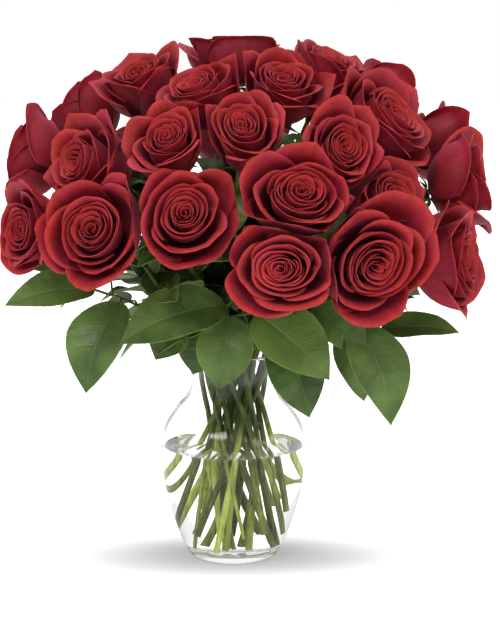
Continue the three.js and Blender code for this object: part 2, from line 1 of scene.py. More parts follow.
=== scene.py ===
"""Red roses and leaf sprays in a clear glass vase of water: the finished surfaces, round the fixed frame.

Lengths in the tables are millimetres, but for the stage's. Every mesh is made in metres. +Z is up, and
the bunch faces -Y.
"""
import math
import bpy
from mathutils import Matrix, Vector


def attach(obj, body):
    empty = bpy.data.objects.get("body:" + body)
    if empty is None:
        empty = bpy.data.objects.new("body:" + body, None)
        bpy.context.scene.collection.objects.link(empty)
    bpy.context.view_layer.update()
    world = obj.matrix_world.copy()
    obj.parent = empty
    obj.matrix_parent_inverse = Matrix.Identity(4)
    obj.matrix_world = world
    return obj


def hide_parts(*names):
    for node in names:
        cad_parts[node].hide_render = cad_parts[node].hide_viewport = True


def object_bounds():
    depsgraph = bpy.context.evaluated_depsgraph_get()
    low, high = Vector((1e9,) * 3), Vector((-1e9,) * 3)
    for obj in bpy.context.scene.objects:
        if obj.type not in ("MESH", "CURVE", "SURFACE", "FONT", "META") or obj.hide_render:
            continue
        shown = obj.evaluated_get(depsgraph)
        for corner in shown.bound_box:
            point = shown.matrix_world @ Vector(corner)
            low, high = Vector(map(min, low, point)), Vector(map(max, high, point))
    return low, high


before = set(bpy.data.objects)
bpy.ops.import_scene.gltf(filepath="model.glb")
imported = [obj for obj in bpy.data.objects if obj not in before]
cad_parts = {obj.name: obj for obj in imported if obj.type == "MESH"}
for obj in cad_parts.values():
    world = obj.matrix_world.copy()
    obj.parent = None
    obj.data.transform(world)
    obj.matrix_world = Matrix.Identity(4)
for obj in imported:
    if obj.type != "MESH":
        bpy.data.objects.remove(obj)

from types import SimpleNamespace

import bpy
import numpy as np

bl_info = {
    "name": "Roses in a Glass Vase",
    "version": (1, 0, 0),
    "blender": (4, 5, 0),
    "location": "View3D > Sidebar > Roses",
    "description": "Makes the blooms, stems, leaves, vase and water of a bunch of red roses",
    "category": "Object",
}

MM = 0.001
CAD_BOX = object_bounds()

# Faces that meet at more than this many degrees show an edge.
CREASE = 50
HIP_CREASE = 40
GLASS_CREASE = 60

# ---- The bunch, in mm ----
VASE_TOP = 203
NECK_Z = 178
WATER_Z = 110
VASE_OUTSIDE = [
    (0, 2.2), (20, 1.6), (31, 0.4), (36, 0), (40.5, 1.2), (46, 9), (54.5, 28), (63, 54),
    (68.6, 84), (70, 110), (67.5, 128), (57, 146), (45, 160), (40.8, NECK_Z), (43.4, 192), (46.6, 201),
]
VASE_INSIDE = [
    (44.6, 201.2), (40.6, 191), (37.8, NECK_Z), (42.2, 159), (54.2, 144), (64.6, 126.5),
    (67, 110), (65.6, 84), (60, 55), (51, 29), (40, 12), (24, 9.4), (0, 9),
]
STEM_WALL = [
    (203, 44.2), (NECK_Z, 37.8), (159, 42.2), (144, 54.2), (126.5, 64.6),
    (110, 67), (84, 65.6), (55, 60), (29, 51), (12, 40), (9, 0),
]
RIM_CLEAR_Z = VASE_TOP + 4
FOOT_TOP = 16
VASE_LIP = [(46.2, 202.6), (45.4, 203.0), (44.8, 202.4)]
WATER_EDGE = 1.3
WATER_EDGE_FADE = 1.6
WATER_INTO_GLASS = 0.12

# How strongly glass and water mirror, and the layers of them that split near light from deep light.
GLASS_MIRROR = 0.5
WATER_MIRROR = 0.2
FEW_LAYERS = 3.5

BLOOM_MIDDLE = 32
PETAL_REACH = 39.5
PETAL_LENGTH = 46
PETAL_SPREAD = 11
PRESS_DEPTH = 5
PRESS_LEAST = 0.6
PRESS_RANGE = 130
HIP_LENGTH = 13
HIP_PROFILE = [
    (2.5, -13.5), (3.0, -12), (4.6, -9), (6.0, -5), (6.4, -2.5), (6.2, -0.4), (4.5, 1.0), (0, 1.2),
]
HIP_END = (0, -13.6)
HIP_INTO = 11
SEPALS = 5
SMALL_LEAF_THICKNESS = 0.45
STALK_R = 1.15
STEM_R = 2.7
SPRAY_R = 1.7

# Small leaves and thorns grow above these heights. NOWHERE is higher than the bunch.
LEAFLETS_FROM = 222
THORNS_FROM = 210
NOWHERE = 9000

# What is added to a seed for the rose stems and the sprays, so that none is like a bloom's or another's.
ROSE_STEM_SEEDS = 100
SPRAY_SEEDS = 200

# The shade deep in the bunch: full near its middle, gone at the far distance from it.
BUNCH_MIDDLE = (0, 0, 310)
SHADE_NEAR = 60
SHADE_FAR = 112
DEEPEST_LIGHT = 0.28

# Where the stems run, as in the frame.
WIDEST_LEAN = 150
RIM_LEAN_R = 36
FOOT_Z = 13
FOOT_RISE = 62
FOOT_IN = 7
FOOT_SWING = 1.1
SWING_STEP = 4.7
SWING_START = 2.4
RISE_STEP = 2.1
RISE_START = 2
LEAVING_SHARE = 0.36
ARRIVING_SHARE = 0.3
STEM_GAP = 1.3
WALL_CLEAR = 1.6
EASE_ROUNDS = 400
EASE_PUSH = 0.3
EASE_SMOOTHING = 0.02
EASE_MOST = 1.5

# Each rose: the middle of its bloom, the compass turn and rise that it faces, its size, how far its outer
# petals have opened (0 to 1), and its spin about its own axis.
ROSES = [
    ((-1, 62, 480), 190, 74, 0.96, 0.85, 20),
    ((88, 15, 462), 70, 66, 0.98, 0.7, 75),
    ((142, 84, 440), 122, 42, 0.94, 0.8, 10),
    ((-84, 4, 454), -50, 62, 0.94, 0.8, 40),
    ((-25, -54, 445), -36, 58, 0.9, 0.75, 100),
    ((45, -48, 450), 25, 56, 0.94, 0.75, 15),
    ((136, -44, 421), 56, 36, 1.04, 0.9, 60),
    ((198, 58, 392), 108, 26, 0.94, 0.8, 5),
    ((-143, 62, 421), -122, 42, 0.94, 0.8, 33),
    ((-55, -110, 401), -12, 46, 0.92, 0.55, 90),
    ((12, -112, 411), 2, 46, 0.92, 0.6, 12),
    ((90, -116, 399), 24, 30, 0.9, 0.65, 70),
    ((-190, 6, 384), -96, 24, 0.98, 0.9, 50),
    ((-124, -78, 384), -50, 30, 1.04, 0.8, 25),
    ((57, -170, 363), 10, 22, 0.96, 0.85, 80),
    ((-39, -166, 346), 6, 24, 0.96, 0.85, 0),
    ((131, -104, 355), 44, 26, 0.92, 0.7, 45),
    ((214, -20, 366), 76, 20, 1.06, 0.85, 65),
    ((-180, -90, 329), -48, 4, 0.92, 0.75, 30),
    ((-115, -150, 331), -14, 12, 1.02, 0.9, 55),
    ((47, -188, 309), 4, 12, 1.0, 0.9, 85),
    ((116, -172, 312), 12, 12, 1.08, 1.0, 18),
    ((192, -88, 301), 62, 6, 1.04, 0.8, 48),
    ((-104, 122, 352), -142, 24, 1.04, 0.9, 22),
    ((0, 142, 398), 178, 34, 1.04, 0.9, 66),
    ((108, 134, 350), 144, 22, 1.04, 0.9, 38),
]

# A leaf: its base, its tip, its half width, the turn and rise that its upper side faces, and its bow.
# The small one is copied along the rose stems. The others are left on rose stems, by the rose's number.
LEAFLET = ((0, 0, 5), (0, 0, 46), 13, (-90, 0), 4)
ROSE_LEAVES = {
    11: ((2, -70, 372), (-2, -96, 322), 17, (0, 20), 5),
    7: ((108, -38, 372), (152, -58, 352), 15, (30, 55), 4),
    16: ((-44, -92, 318), (-86, -104, 300), 15, (-20, 50), 4),
    15: ((52, -88, 320), (84, -118, 332), 15, (0, 60), 4),
    14: ((-78, -48, 330), (-92, -96, 344), 15, (-30, 60), 4),
    23: ((112, -46, 270), (156, -66, 264), 15, (40, 50), 4),
    9: ((-84, 34, 356), (-130, 26, 344), 16, (-90, 50), 4),
    8: ((104, 34, 320), (152, 30, 330), 16, (90, 50), 4),
    25: ((4, 66, 340), (30, 104, 326), 17, (170, 45), 4),
    24: ((-58, 72, 300), (-86, 108, 286), 17, (-150, 45), 4),
    26: ((62, 76, 300), (70, 116, 290), 17, (160, 45), 4),
    4: ((-52, 0, 392), (-84, -28, 388), 15, (-40, 60), 4),
}

SPRAYS = {
    "left": [
        ((-126, -75, 273), (-207, -88, 262), 22, (-20, 45), 8),
        ((-102, -92, 264), (-132, -122, 187), 29, (-25, 20), 9),
        ((-118, -40, 280), (-189, -56, 292), 17, (-30, 55), 6),
        ((-96, -30, 256), (-150, 10, 210), 24, (-100, 40), 8),
    ],
    "front_left": [
        ((-6, -108, 264), (-99, -135, 234), 29, (-5, 42), 10),
        ((-46, -88, 246), (-70, -100, 213), 20, (-20, 15), 5),
        ((-24, -80, 238), (-36, -84, 196), 20, (-12, 5), 5),
    ],
    "front": [
        ((-1, -108, 254), (-12, -122, 190), 26, (-4, 22), 7),
        ((22, -112, 256), (87, -142, 205), 31, (8, 35), 9),
        ((40, -92, 232), (70, -112, 162), 26, (10, 12), 7),
    ],
    "right": [
        ((72, -94, 258), (122, -112, 223), 21, (15, 30), 6),
        ((111, -92, 244), (144, -132, 161), 29, (22, 22), 10),
        ((98, -66, 228), (123, -78, 170), 20, (30, 5), 5),
        ((137, -62, 234), (207, -84, 236), 17, (12, 50), 6),
        ((126, -40, 244), (168, -52, 264), 16, (40, 60), 5),
    ],
    "back_right": [
        ((92, 66, 262), (176, 84, 232), 27, (110, 45), 9),
        ((70, 92, 264), (112, 172, 236), 27, (150, 40), 9),
        ((46, 86, 244), (30, 124, 176), 27, (170, 20), 8),
        ((84, 58, 240), (128, 58, 176), 24, (105, 20), 7),
    ],
    "back_left": [
        ((-92, 66, 262), (-176, 78, 236), 27, (-110, 45), 9),
        ((-70, 92, 264), (-98, 174, 240), 27, (-155, 40), 9),
        ((-46, 86, 244), (-46, 130, 172), 27, (180, 20), 8),
        ((-84, 62, 240), (-132, 70, 178), 24, (-110, 20), 7),
    ],
}

# The petals from the outermost in, as knots by petal number. The radius of the brim is a share of the
# bloom's reach and goes from the first value, in a tall cup, to the second, in a bloom that is fully open.
# So does its height. Then the half angle, the lip's length, how far it curls in degrees, and how deep light
# gets between the petal and the next.
PETAL_KNOTS = [
    (0, 0.77, 0.91, 44.5, 36.0, 58, 14.0, 128, 60),
    (3, 0.72, 0.85, 46.0, 38.5, 60, 13.0, 118, 50),
    (4, 0.63, 0.74, 48.0, 43.0, 68, 9.5, 110, 36),
    (7, 0.57, 0.65, 49.5, 46.0, 72, 8.0, 98, 30),
    (8, 0.49, 0.54, 50.5, 48.5, 80, 6.5, 86, 22),
    (10, 0.45, 0.49, 50.5, 49.5, 84, 5.5, 76, 18),
    (11, 0.41, 0.44, 50.5, 50.0, 90, 4.5, 66, 15),
    (20, 0.22, 0.24, 50.0, 50.0, 105, 3.5, 48, 11),
    (29, 0.04, 0.04, 47.5, 47.5, 120, 2.4, 20, 9),
]
CUP_OPENING = 0.55
FULL_OPENING = 0.95
LAST_PETAL = PETAL_KNOTS[-1][0]
OUTER_PETALS = 11
OPEN_PETALS = 4
GOLDEN_TURN = 137.5
BOX_EASE = 9
BOX_CLEAR = 0.3

# The stage, in metres: each lamp's place, size and share of the power, and the camera.
LAMPS = [
    ("lamp_key", (-0.9, -1.6, 2.1), 1.2, 1.0),
    ("lamp_right", (1.5, -1.1, 1.2), 1.4, 0.35),
    ("lamp_top", (0.1, 0.4, 2.4), 1.6, 0.5),
]
LAMP_TARGET = (0, -0.05, 0.3)
FLOOR_REACH = 9
CAMERA_AT = (0.016, -1.7, 0.52)
CAMERA_DOWN = 9.37
LENS = 103.45
MOST_BOUNCES = 32
MIRROR_BOUNCES = 16
GLASS_BOUNCES = 24


# ---- Small helpers ----
def facing(turn, rise):
    """The unit vector that faces a compass turn and a rise, both in degrees. Turn 0 faces -Y."""
    a, e = math.radians(turn), math.radians(rise)
    return np.array([math.sin(a) * math.cos(e), -math.cos(a) * math.cos(e), math.sin(e)])


def unit(v):
    """v, or each row of v, at length 1."""
    v = np.asarray(v, float)
    return v / np.maximum(np.linalg.norm(v, axis=-1, keepdims=True), 1e-12)


def smooth(x):
    """0 to 1 with an eased start and end."""
    x = np.clip(x, 0, 1)
    return x * x * (3 - 2 * x)


def through(points, count):
    """count points, evenly spread by number, on a smooth curve through the given ones."""
    p = np.asarray(points, float)
    p = np.concatenate([[2 * p[0] - p[1]], p, [2 * p[-1] - p[-2]]])
    knots = np.concatenate([[0], np.cumsum(np.sqrt(np.linalg.norm(np.diff(p, axis=0), axis=1)))])
    at = np.interp(np.linspace(1, len(p) - 2, count), np.arange(len(p)), knots)
    k = np.clip(np.searchsorted(knots, at, side="right") - 1, 1, len(p) - 3)
    t = [knots[k + i][:, None] for i in (-1, 0, 1, 2)]
    at = at[:, None]

    def between(a, b, low, high):
        return (high - at) / (high - low) * a + (at - low) / (high - low) * b

    near = [p[k + i] for i in (-1, 0, 1, 2)]
    near = [between(near[i], near[i + 1], t[i], t[i + 1]) for i in range(3)]
    near = [between(near[i], near[i + 1], t[i], t[i + 2]) for i in range(2)]
    return between(*near, t[1], t[2])


def cubic(p0, p1, p2, p3, t):
    """A cubic curve's value at t."""
    return (1 - t) ** 3 * p0 + 3 * t * (1 - t) ** 2 * p1 + 3 * t * t * (1 - t) * p2 + t**3 * p3


def cubic_slope(p0, p1, p2, p3, t):
    """How fast a cubic curve changes at t."""
    return 3 * (1 - t) ** 2 * (p1 - p0) + 6 * t * (1 - t) * (p2 - p1) + 3 * t * t * (p3 - p2)


def bezier(p0, p1, p2, p3, t):
    """Points of a cubic curve at t."""
    p0, p1, p2, p3 = (np.asarray(p, float) for p in (p0, p1, p2, p3))
    return cubic(p0, p1, p2, p3, np.asarray(t, float)[..., None])


# ---- Meshes ----
def new_object(name, data):
    """A new object in the scene."""
    made = bpy.data.objects.new(name, data)
    bpy.context.scene.collection.objects.link(made)
    return made


def shaded(mesh, sharp, marks, material=None):
    """Gives a mesh smooth faces with creases over an angle, numbers at its points and a material."""
    for key, values in marks.items():
        attribute = mesh.attributes.new(key, "FLOAT", "POINT")
        attribute.data.foreach_set("value", np.asarray(values, np.float32).ravel())
    mesh.polygons.foreach_set("use_smooth", np.ones(len(mesh.polygons), bool))
    mesh.set_sharp_from_angle(angle=math.radians(sharp))
    if material:
        mesh.materials.append(material)
    return mesh


def mesh_object(name, points, quads, material, uv, marks):
    """A smooth object of quads from points in mm, with a UV map and numbers at its points."""
    mesh = bpy.data.meshes.new(name)
    mesh.vertices.add(len(points))
    mesh.vertices.foreach_set("co", (points.astype(np.float32) * MM).ravel())
    mesh.loops.add(quads.size)
    mesh.loops.foreach_set("vertex_index", quads.astype(np.int32).ravel())
    mesh.polygons.add(len(quads))
    mesh.polygons.foreach_set("loop_start", np.arange(0, quads.size, 4, dtype=np.int32))
    mesh.update(calc_edges=True)
    layer = mesh.uv_layers.new(name="UVMap")
    layer.uv.foreach_set("vector", uv.astype(np.float32)[quads.ravel()].ravel())
    return new_object(name, shaded(mesh, CREASE, marks, material))


def turned_object(name, profile, sides, material, sharp, marks, turned=np.eye(3), base=0):
    """A closed turned solid in a turned frame. The profile runs in mm from the axis up the outside and back
    to the axis, and marks has a number for each row of it."""
    points, faces, rings, rows = [], [], [], []
    angles = np.linspace(0, 2 * math.pi, sides, endpoint=False)
    for row, (r, z) in enumerate(profile):
        here = 1 if r < 1e-6 else sides
        rings.append([len(points) + k % here for k in range(sides)])
        points += [(r * math.cos(a), r * math.sin(a), z) for a in angles[:here]]
        rows += [row] * here
    for low, high in zip(rings, rings[1:]):
        for k in range(sides):
            n = (k + 1) % sides
            face = list(dict.fromkeys([low[k], low[n], high[n], high[k]]))
            if len(face) > 2:
                faces.append(face)
    mesh = bpy.data.meshes.new(name)
    mesh.from_pydata(((np.array(points) @ turned.T + base) * MM).tolist(), [], faces)
    marks = {key: values[rows] for key, values in marks.items()}
    return new_object(name, shaded(mesh, sharp, marks, material))


def shells(grids, thickness):
    """Closed thin shells on grids of points, [sheet, row, column, xyz]. thickness fits that shape.
    Returns points, quads and the side of each point: 0 on the side that the columns turn round, 1 inside."""
    sheets, rows, columns, _ = grids.shape
    across = np.gradient(grids, axis=2)
    along = np.gradient(grids, axis=1)
    half = unit(np.cross(across, along)) * (np.asarray(thickness)[..., None] / 2)
    points = np.stack([grids + half, grids - half], axis=1).reshape(-1, 3)
    sides = np.zeros((sheets, 2, rows, columns))
    sides[:, 1] = 1
    a = (np.arange(rows - 1)[:, None] * columns + np.arange(columns - 1)).ravel()
    n = rows * columns
    c = np.arange(columns - 1)
    r = np.arange(rows - 1) * columns
    top = (rows - 1) * columns + c
    right = r + columns - 1
    one = np.concatenate([
        np.stack([a, a + 1, a + columns + 1, a + columns], 1),
        np.stack([a, a + columns, a + columns + 1, a + 1], 1) + n,
        np.stack([c + 1, c, c + n, c + 1 + n], 1),
        np.stack([top, top + 1, top + 1 + n, top + n], 1),
        np.stack([r, r + columns, r + columns + n, r + n], 1),
        np.stack([right + columns, right, right + n, right + columns + n], 1),
    ])
    quads = (one[None] + (np.arange(sheets) * 2 * n)[:, None, None]).reshape(-1, 4)
    return points, quads, sides.ravel()


def grid_uv(sheets, u, v):
    """The UV of every point of the shells, from a column value from -1 to 1 and a row value from 0 to 1."""
    uv = np.stack(np.broadcast_arrays(0.5 + 0.5 * u, v), axis=-1)
    uv = np.broadcast_to(uv, (sheets, *uv.shape[-3:]))
    return np.repeat(uv[:, None], 2, axis=1).reshape(-1, 2)


# ---- Node trees ----
class Wire:
    """What comes out of a node. A sum with it adds the node that works the sum out."""

    def __init__(self, socket):
        self.socket = socket

    def sum(self, operation, *terms):
        return wire("ShaderNodeMath", dict(enumerate([self, *terms])), operation=operation)

    def __add__(self, other):
        return self.sum("ADD", other)

    def __mul__(self, other):
        return self.sum("MULTIPLY", other)

    def __rsub__(self, other):
        return self.sum("MULTIPLY_ADD", -1.0, other)


def set_inputs(node, inputs):
    """Sets a node's inputs to values or joins them to wires."""
    for key, value in inputs.items():
        if isinstance(value, Wire):
            node.id_data.links.new(value.socket, node.inputs[key])
        else:
            node.inputs[key].default_value = value


def new_node(tree, kind, inputs=None, **settings):
    """A new node with its settings and inputs."""
    made = tree.nodes.new(kind)
    for key, value in settings.items():
        setattr(made, key, value)
    set_inputs(made, inputs or {})
    return made


def add(tree, kind, inputs=None, **settings):
    """The outputs of a new node, by name."""
    made = new_node(tree, kind, inputs, **settings)
    return {output.name: Wire(output) for output in reversed(made.outputs)}


def source(tree, kind, inputs=None, output=0, **settings):
    """One output of a new node."""
    return Wire(new_node(tree, kind, inputs, **settings).outputs[output])


def tree_of(inputs):
    """The tree of the wires among some inputs."""
    return next(value.socket.id_data for value in inputs.values() if isinstance(value, Wire))


def wire(kind, inputs, output=0, **settings):
    """One output of a new node in the tree of the wires that go into it."""
    return source(tree_of(inputs), kind, inputs, output, **settings)


def split(vector):
    """The three parts of a vector."""
    parts = add(vector.socket.id_data, "ShaderNodeSeparateXYZ", {0: vector})
    return parts["X"], parts["Y"], parts["Z"]


def combine(x, y, z):
    """The vector of three parts."""
    return wire("ShaderNodeCombineXYZ", {0: x, 1: y, 2: z})


def moved(vector, **inputs):
    """A vector scaled and then moved."""
    return wire("ShaderNodeMapping", {"Vector": vector, **inputs})


def distance(vector):
    """The length of a vector."""
    return wire("ShaderNodeVectorMath", {0: vector}, "Value", operation="LENGTH")


def ranged(value, low, high, to_low=0.0, to_high=1.0, kind="LINEAR"):
    """A number that goes from low to high, brought to another range and held in it."""
    inputs = {"Value": value, "From Min": low, "From Max": high, "To Min": to_low, "To Max": to_high}
    return wire("ShaderNodeMapRange", inputs, interpolation_type=kind)


def ease(value, low, high):
    """0 under low and 1 over high, eased in between."""
    return ranged(value, low, high, kind="SMOOTHSTEP")


def noise(place, scale, detail, roughness=0.5):
    """Soft noise from 0 to 1."""
    return wire("ShaderNodeTexNoise", {
        "Vector": place, "Scale": scale, "Detail": detail, "Roughness": roughness,
    })


def mix(share, a, b, blend="MIX"):
    """Colour a mixed with colour b."""
    a, b = (value if isinstance(value, Wire) else (*value, 1) for value in (a, b))
    return wire("ShaderNodeMix", {0: share, 6: a, 7: b}, 2, data_type="RGBA", blend_type=blend)


def tinted(colour, level):
    """A colour made lighter or darker by a number."""
    return mix(1.0, colour, level, "MULTIPLY")


def bump(height, strength, depth):
    """The normal of a surface with fine relief, its depth in metres."""
    return wire("ShaderNodeBump", {"Strength": strength, "Distance": depth, "Height": height}, "Normal")


def mark(tree, name):
    """A number that the mesh carries at its points."""
    return source(tree, "ShaderNodeAttribute", output="Fac", attribute_name=name)


def object_place(tree):
    """Where a point of the surface is, in metres."""
    return source(tree, "ShaderNodeTexCoord", output="Object")


def own_map(tree):
    """The mesh's own map."""
    return source(tree, "ShaderNodeUVMap", uv_map="UVMap")


def new_material(name):
    """An empty material, its tree and its surface shader."""
    material = bpy.data.materials.new(name)
    material.use_nodes = True
    tree = material.node_tree
    tree.nodes.clear()
    shader = new_node(tree, "ShaderNodeBsdfPrincipled")
    add(tree, "ShaderNodeOutputMaterial", {"Surface": Wire(shader.outputs[0])})
    return material, tree, shader


def shared(name, inputs, outputs, fill):
    """The outputs of a shader group that takes vectors and numbers and puts out numbers. The group is made
    the first time that it is used, and fill works out what comes out of it."""
    if name not in bpy.data.node_groups:
        group = bpy.data.node_groups.new(name, "ShaderNodeTree")
        for key, value in inputs.items():
            kind = "NodeSocketFloat"
            if isinstance(value, Wire) and value.socket.type == "VECTOR":
                kind = "NodeSocketVector"
            group.interface.new_socket(key, in_out="INPUT", socket_type=kind)
        for key in outputs:
            group.interface.new_socket(key, in_out="OUTPUT", socket_type="NodeSocketFloat")
        given = add(group, "NodeGroupInput")
        add(group, "NodeGroupOutput", dict(zip(outputs, fill(*(given[key] for key in inputs)))))
    placed = add(tree_of(inputs), "ShaderNodeGroup", inputs, node_tree=bpy.data.node_groups[name])
    return [placed[key] for key in outputs]


def mottle(coords, blotches, grain):
    """Soft blotches and fine grain, which petals, leaves and stems all show."""
    def fill(place, blotches, grain):
        return ease(noise(place, blotches, 3.0), 0.3, 0.7), noise(place, grain, 2.0)

    inputs = {"Vector": coords, "Blotches": blotches, "Grain": grain}
    return shared("plant_mottle", inputs, ["Blotch", "Fine"], fill)


def petal_veins(uv, petal):
    """Fine veins from the root to the rim of a petal, fanned by its own map, and broad waves of tone."""
    def fill(uv, petal, veins):
        across, up, _ = split(uv)
        along = up * 1.6
        fine = noise(combine(across * veins, along, petal), 1.0, 4.0, 0.6)
        return fine, noise(combine(across * 5.0, along, petal), 1.0, 2.0)

    return shared("petal_veins", {"Map": uv, "Petal": petal, "Veins": 26.0}, ["Veins", "Waves"], fill)


def bunch_shade(coords):
    """The shade deep in the bunch, where leaves and stems get little light."""
    def fill(place):
        middle = tuple(-value * MM for value in BUNCH_MIDDLE)
        opening = ease(distance(moved(place, Location=middle)), SHADE_NEAR * MM, SHADE_FAR * MM)
        return [opening * (1 - DEEPEST_LIGHT) + DEEPEST_LIGHT]

    return shared("bunch_shade", {"Vector": coords}, ["Light"], fill)[0]


def petal_material(settings):
    """Velvety red: warm on the inner face, crimson outside, with painted shade that darkens it deep between
    the petals and a painted highlight that makes it paler at the rim.
    """
    material, tree, shader = new_material("rose_petal_velvet")
    uv = own_map(tree)
    veins, waves = petal_veins(uv, mark(tree, "petal"))
    blotch, grain = mottle(object_place(tree), 55.0, 1500.0)
    colour = mix(mark(tree, "inner"), settings.outer_colour, settings.inner_colour)
    colour = mix(ease(waves, 0.35, 0.7) * 0.75, colour, settings.pink_colour)
    # Painted highlight: the top tenth of every petal is mixed towards a paler, warmer red, as if light caught
    # the rims.
    colour = mix(ease(split(uv)[1], 0.9, 1.0) * 0.5, colour, settings.rim_highlight_colour)
    # Painted shade: where the lit mark says little light gets in between the petals, the colour is mixed
    # towards a near-black red.
    colour = mix((1 - mark(tree, "lit")) * 0.85, colour, settings.deep_shade_colour)
    colour = tinted(colour, ranged(veins, 0.3, 0.7, 0.8, 1.1))
    colour = tinted(colour, ranged(blotch, 0.0, 1.0, 0.85, 1.08))
    set_inputs(shader, {
        "Base Color": colour, "Roughness": blotch * 0.12 + 0.48,
        "Normal": bump(veins * 0.7 + grain * 0.3, 0.4, 0.0008),
        "Sheen Weight": settings.velvet, "Sheen Roughness": 0.45, "Sheen Tint": (1.0, 0.18, 0.34, 1),
        "Specular IOR Level": 0.16, "Subsurface Weight": settings.glow,
        "Subsurface Radius": (1.0, 0.12, 0.06), "Subsurface Scale": 0.003,
    })
    return material


# ---- Blooms ----
def rose_frame(rose):
    """The axis, the turned frame, the middle and the base of a bloom."""
    at, turn, rise, size, _, spin = rose
    axis = facing(turn, rise)
    cross = np.array([[0, 0, axis[0]], [0, 0, axis[1]], [-axis[0], -axis[1], 0]])
    tilt = np.eye(3) + cross + cross @ cross / (1 + axis[2])
    a = math.radians(spin)
    turned = tilt @ np.array([[math.cos(a), -math.sin(a), 0], [math.sin(a), math.cos(a), 0], [0, 0, 1]])
    middle = np.array(at, float)
    return axis, turned, middle, middle - axis * BLOOM_MIDDLE * size


def press_limits(index):
    """The flat limits between a bloom and its neighbours, in the bloom's own frame."""
    _, turned, middle, base = rose_frame(ROSES[index])
    size = ROSES[index][3]
    limits = []
    for other in ROSES:
        gap = np.array(other[0], float) - middle
        if other is ROSES[index] or np.linalg.norm(gap) > PRESS_RANGE:
            continue
        point = middle + gap * size / (size + other[3])
        limits.append(((point - base) @ turned, unit(gap) @ turned))
    return limits


def press(points, limits):
    """Petals press flat where blooms meet: a point near a limit is eased back to its own side of it."""
    for _ in range(3):
        for point, normal in limits:
            depth = (point - points) @ normal
            eased = PRESS_DEPTH * np.exp(np.minimum(depth, PRESS_DEPTH) / PRESS_DEPTH - 1)
            eased = np.maximum(PRESS_LEAST, eased)
            back = np.where((depth < PRESS_DEPTH) & (eased > depth), depth - eased, 0)
            points = points + back[..., None] * normal
    return points


def petal_plan(rose, count, draw):
    """What sets each petal of a bloom apart, the outermost first, in arrays that fit [petal, row, column]."""
    opened = rose[4]
    number = np.arange(count) * (LAST_PETAL / (count - 1))
    knots = np.array(PETAL_KNOTS, float).T
    knots = [np.interp(number, knots[0], row) for row in knots[1:]]
    full = np.clip((opened - CUP_OPENING) / (FULL_OPENING - CUP_OPENING), 0, 1)
    share, brim_z = (knots[i] + (knots[i + 1] - knots[i]) * full for i in (0, 2))
    half, lip, curl, light = knots[4:]
    outer = np.clip(1 - number / OUTER_PETALS, 0, 1)
    reach = PETAL_REACH + PETAL_SPREAD * opened
    plan = {
        "outer": outer,
        "half": np.radians(half),
        "light": light,
        "turn": np.radians(GOLDEN_TURN * np.arange(count) + draw.normal(0, 11, count)),
        "curl": np.radians(curl * draw.uniform(0.68, 1.22, count)),
        "lip": lip * draw.uniform(0.85, 1.2, count),
        "brim_r": share * reach * draw.uniform(0.94, 1.06, count),
        "brim_z": brim_z + draw.normal(0, 0.9 + 1.8 * outer, count),
        "tilt": draw.normal(0, 1.3 + 2.6 * outer, count),
        "phase": draw.uniform(0, 6.28, count),
        "point": draw.uniform(0.2, 1.0, count) * (0.6 + 5.6 * outer),
        "squared": draw.uniform(0.3, 1.0, count) * (0.06 + 0.22 * outer),
        "tucked": draw.normal(0.09, 0.015, count) - 0.04 * outer,
        "folds": draw.uniform(-0.8, 0.8, (2, count)),
        "fold_size": draw.uniform(0.2, 1.0, (2, count)) * (1.2 + 2.2 * outer),
    }
    return SimpleNamespace(**{key: values[..., None, None] for key, values in plan.items()})


def petal_section(p, u, v):
    """The radius and height of each petal from its root to its rim, with its rolled lip."""
    sides = np.abs(u)
    body = PETAL_LENGTH * (1 - (0.14 + 0.18 * p.outer) * sides**3)
    rolled = p.lip * (1 - 0.6 * sides**3)
    along = v * (body + rolled)
    end = body / PETAL_LENGTH
    t = np.minimum(along / PETAL_LENGTH, end)
    start = 3 + 0.05 * (46 - p.brim_r)
    across = (0.5 + 0.14 * p.brim_r, 0.74 * p.brim_r, 0.95 * p.brim_r, p.brim_r)
    upward = (start, start + 3, p.brim_z - 15, p.brim_z)
    # The lip rolls outwards all along the rim, more at its sides, so that the middle stands out as a point.
    slope = np.arctan2(cubic_slope(*across, end), cubic_slope(*upward, end))
    radius = rolled / (p.curl * (0.45 + 0.95 * sides**1.3))
    angle = np.clip(along - body, 0, None) / radius
    r = cubic(*across, t) + radius * (np.cos(slope) - np.cos(slope + angle))
    z = cubic(*upward, t) + radius * (np.sin(slope + angle) - np.sin(slope))
    return r, z


def petal_light(p, u, v):
    """How much light reaches each row of a petal's outer and inner face."""
    depth = (1 - v) * (PETAL_LENGTH + p.lip) + 0 * u
    inner = np.exp(-((depth / p.light) ** 1.5))
    outer = np.exp(-((depth / (p.light * 1.1)) ** 1.5))
    outer[:OPEN_PETALS] = 1
    return np.stack([outer, inner], axis=1)


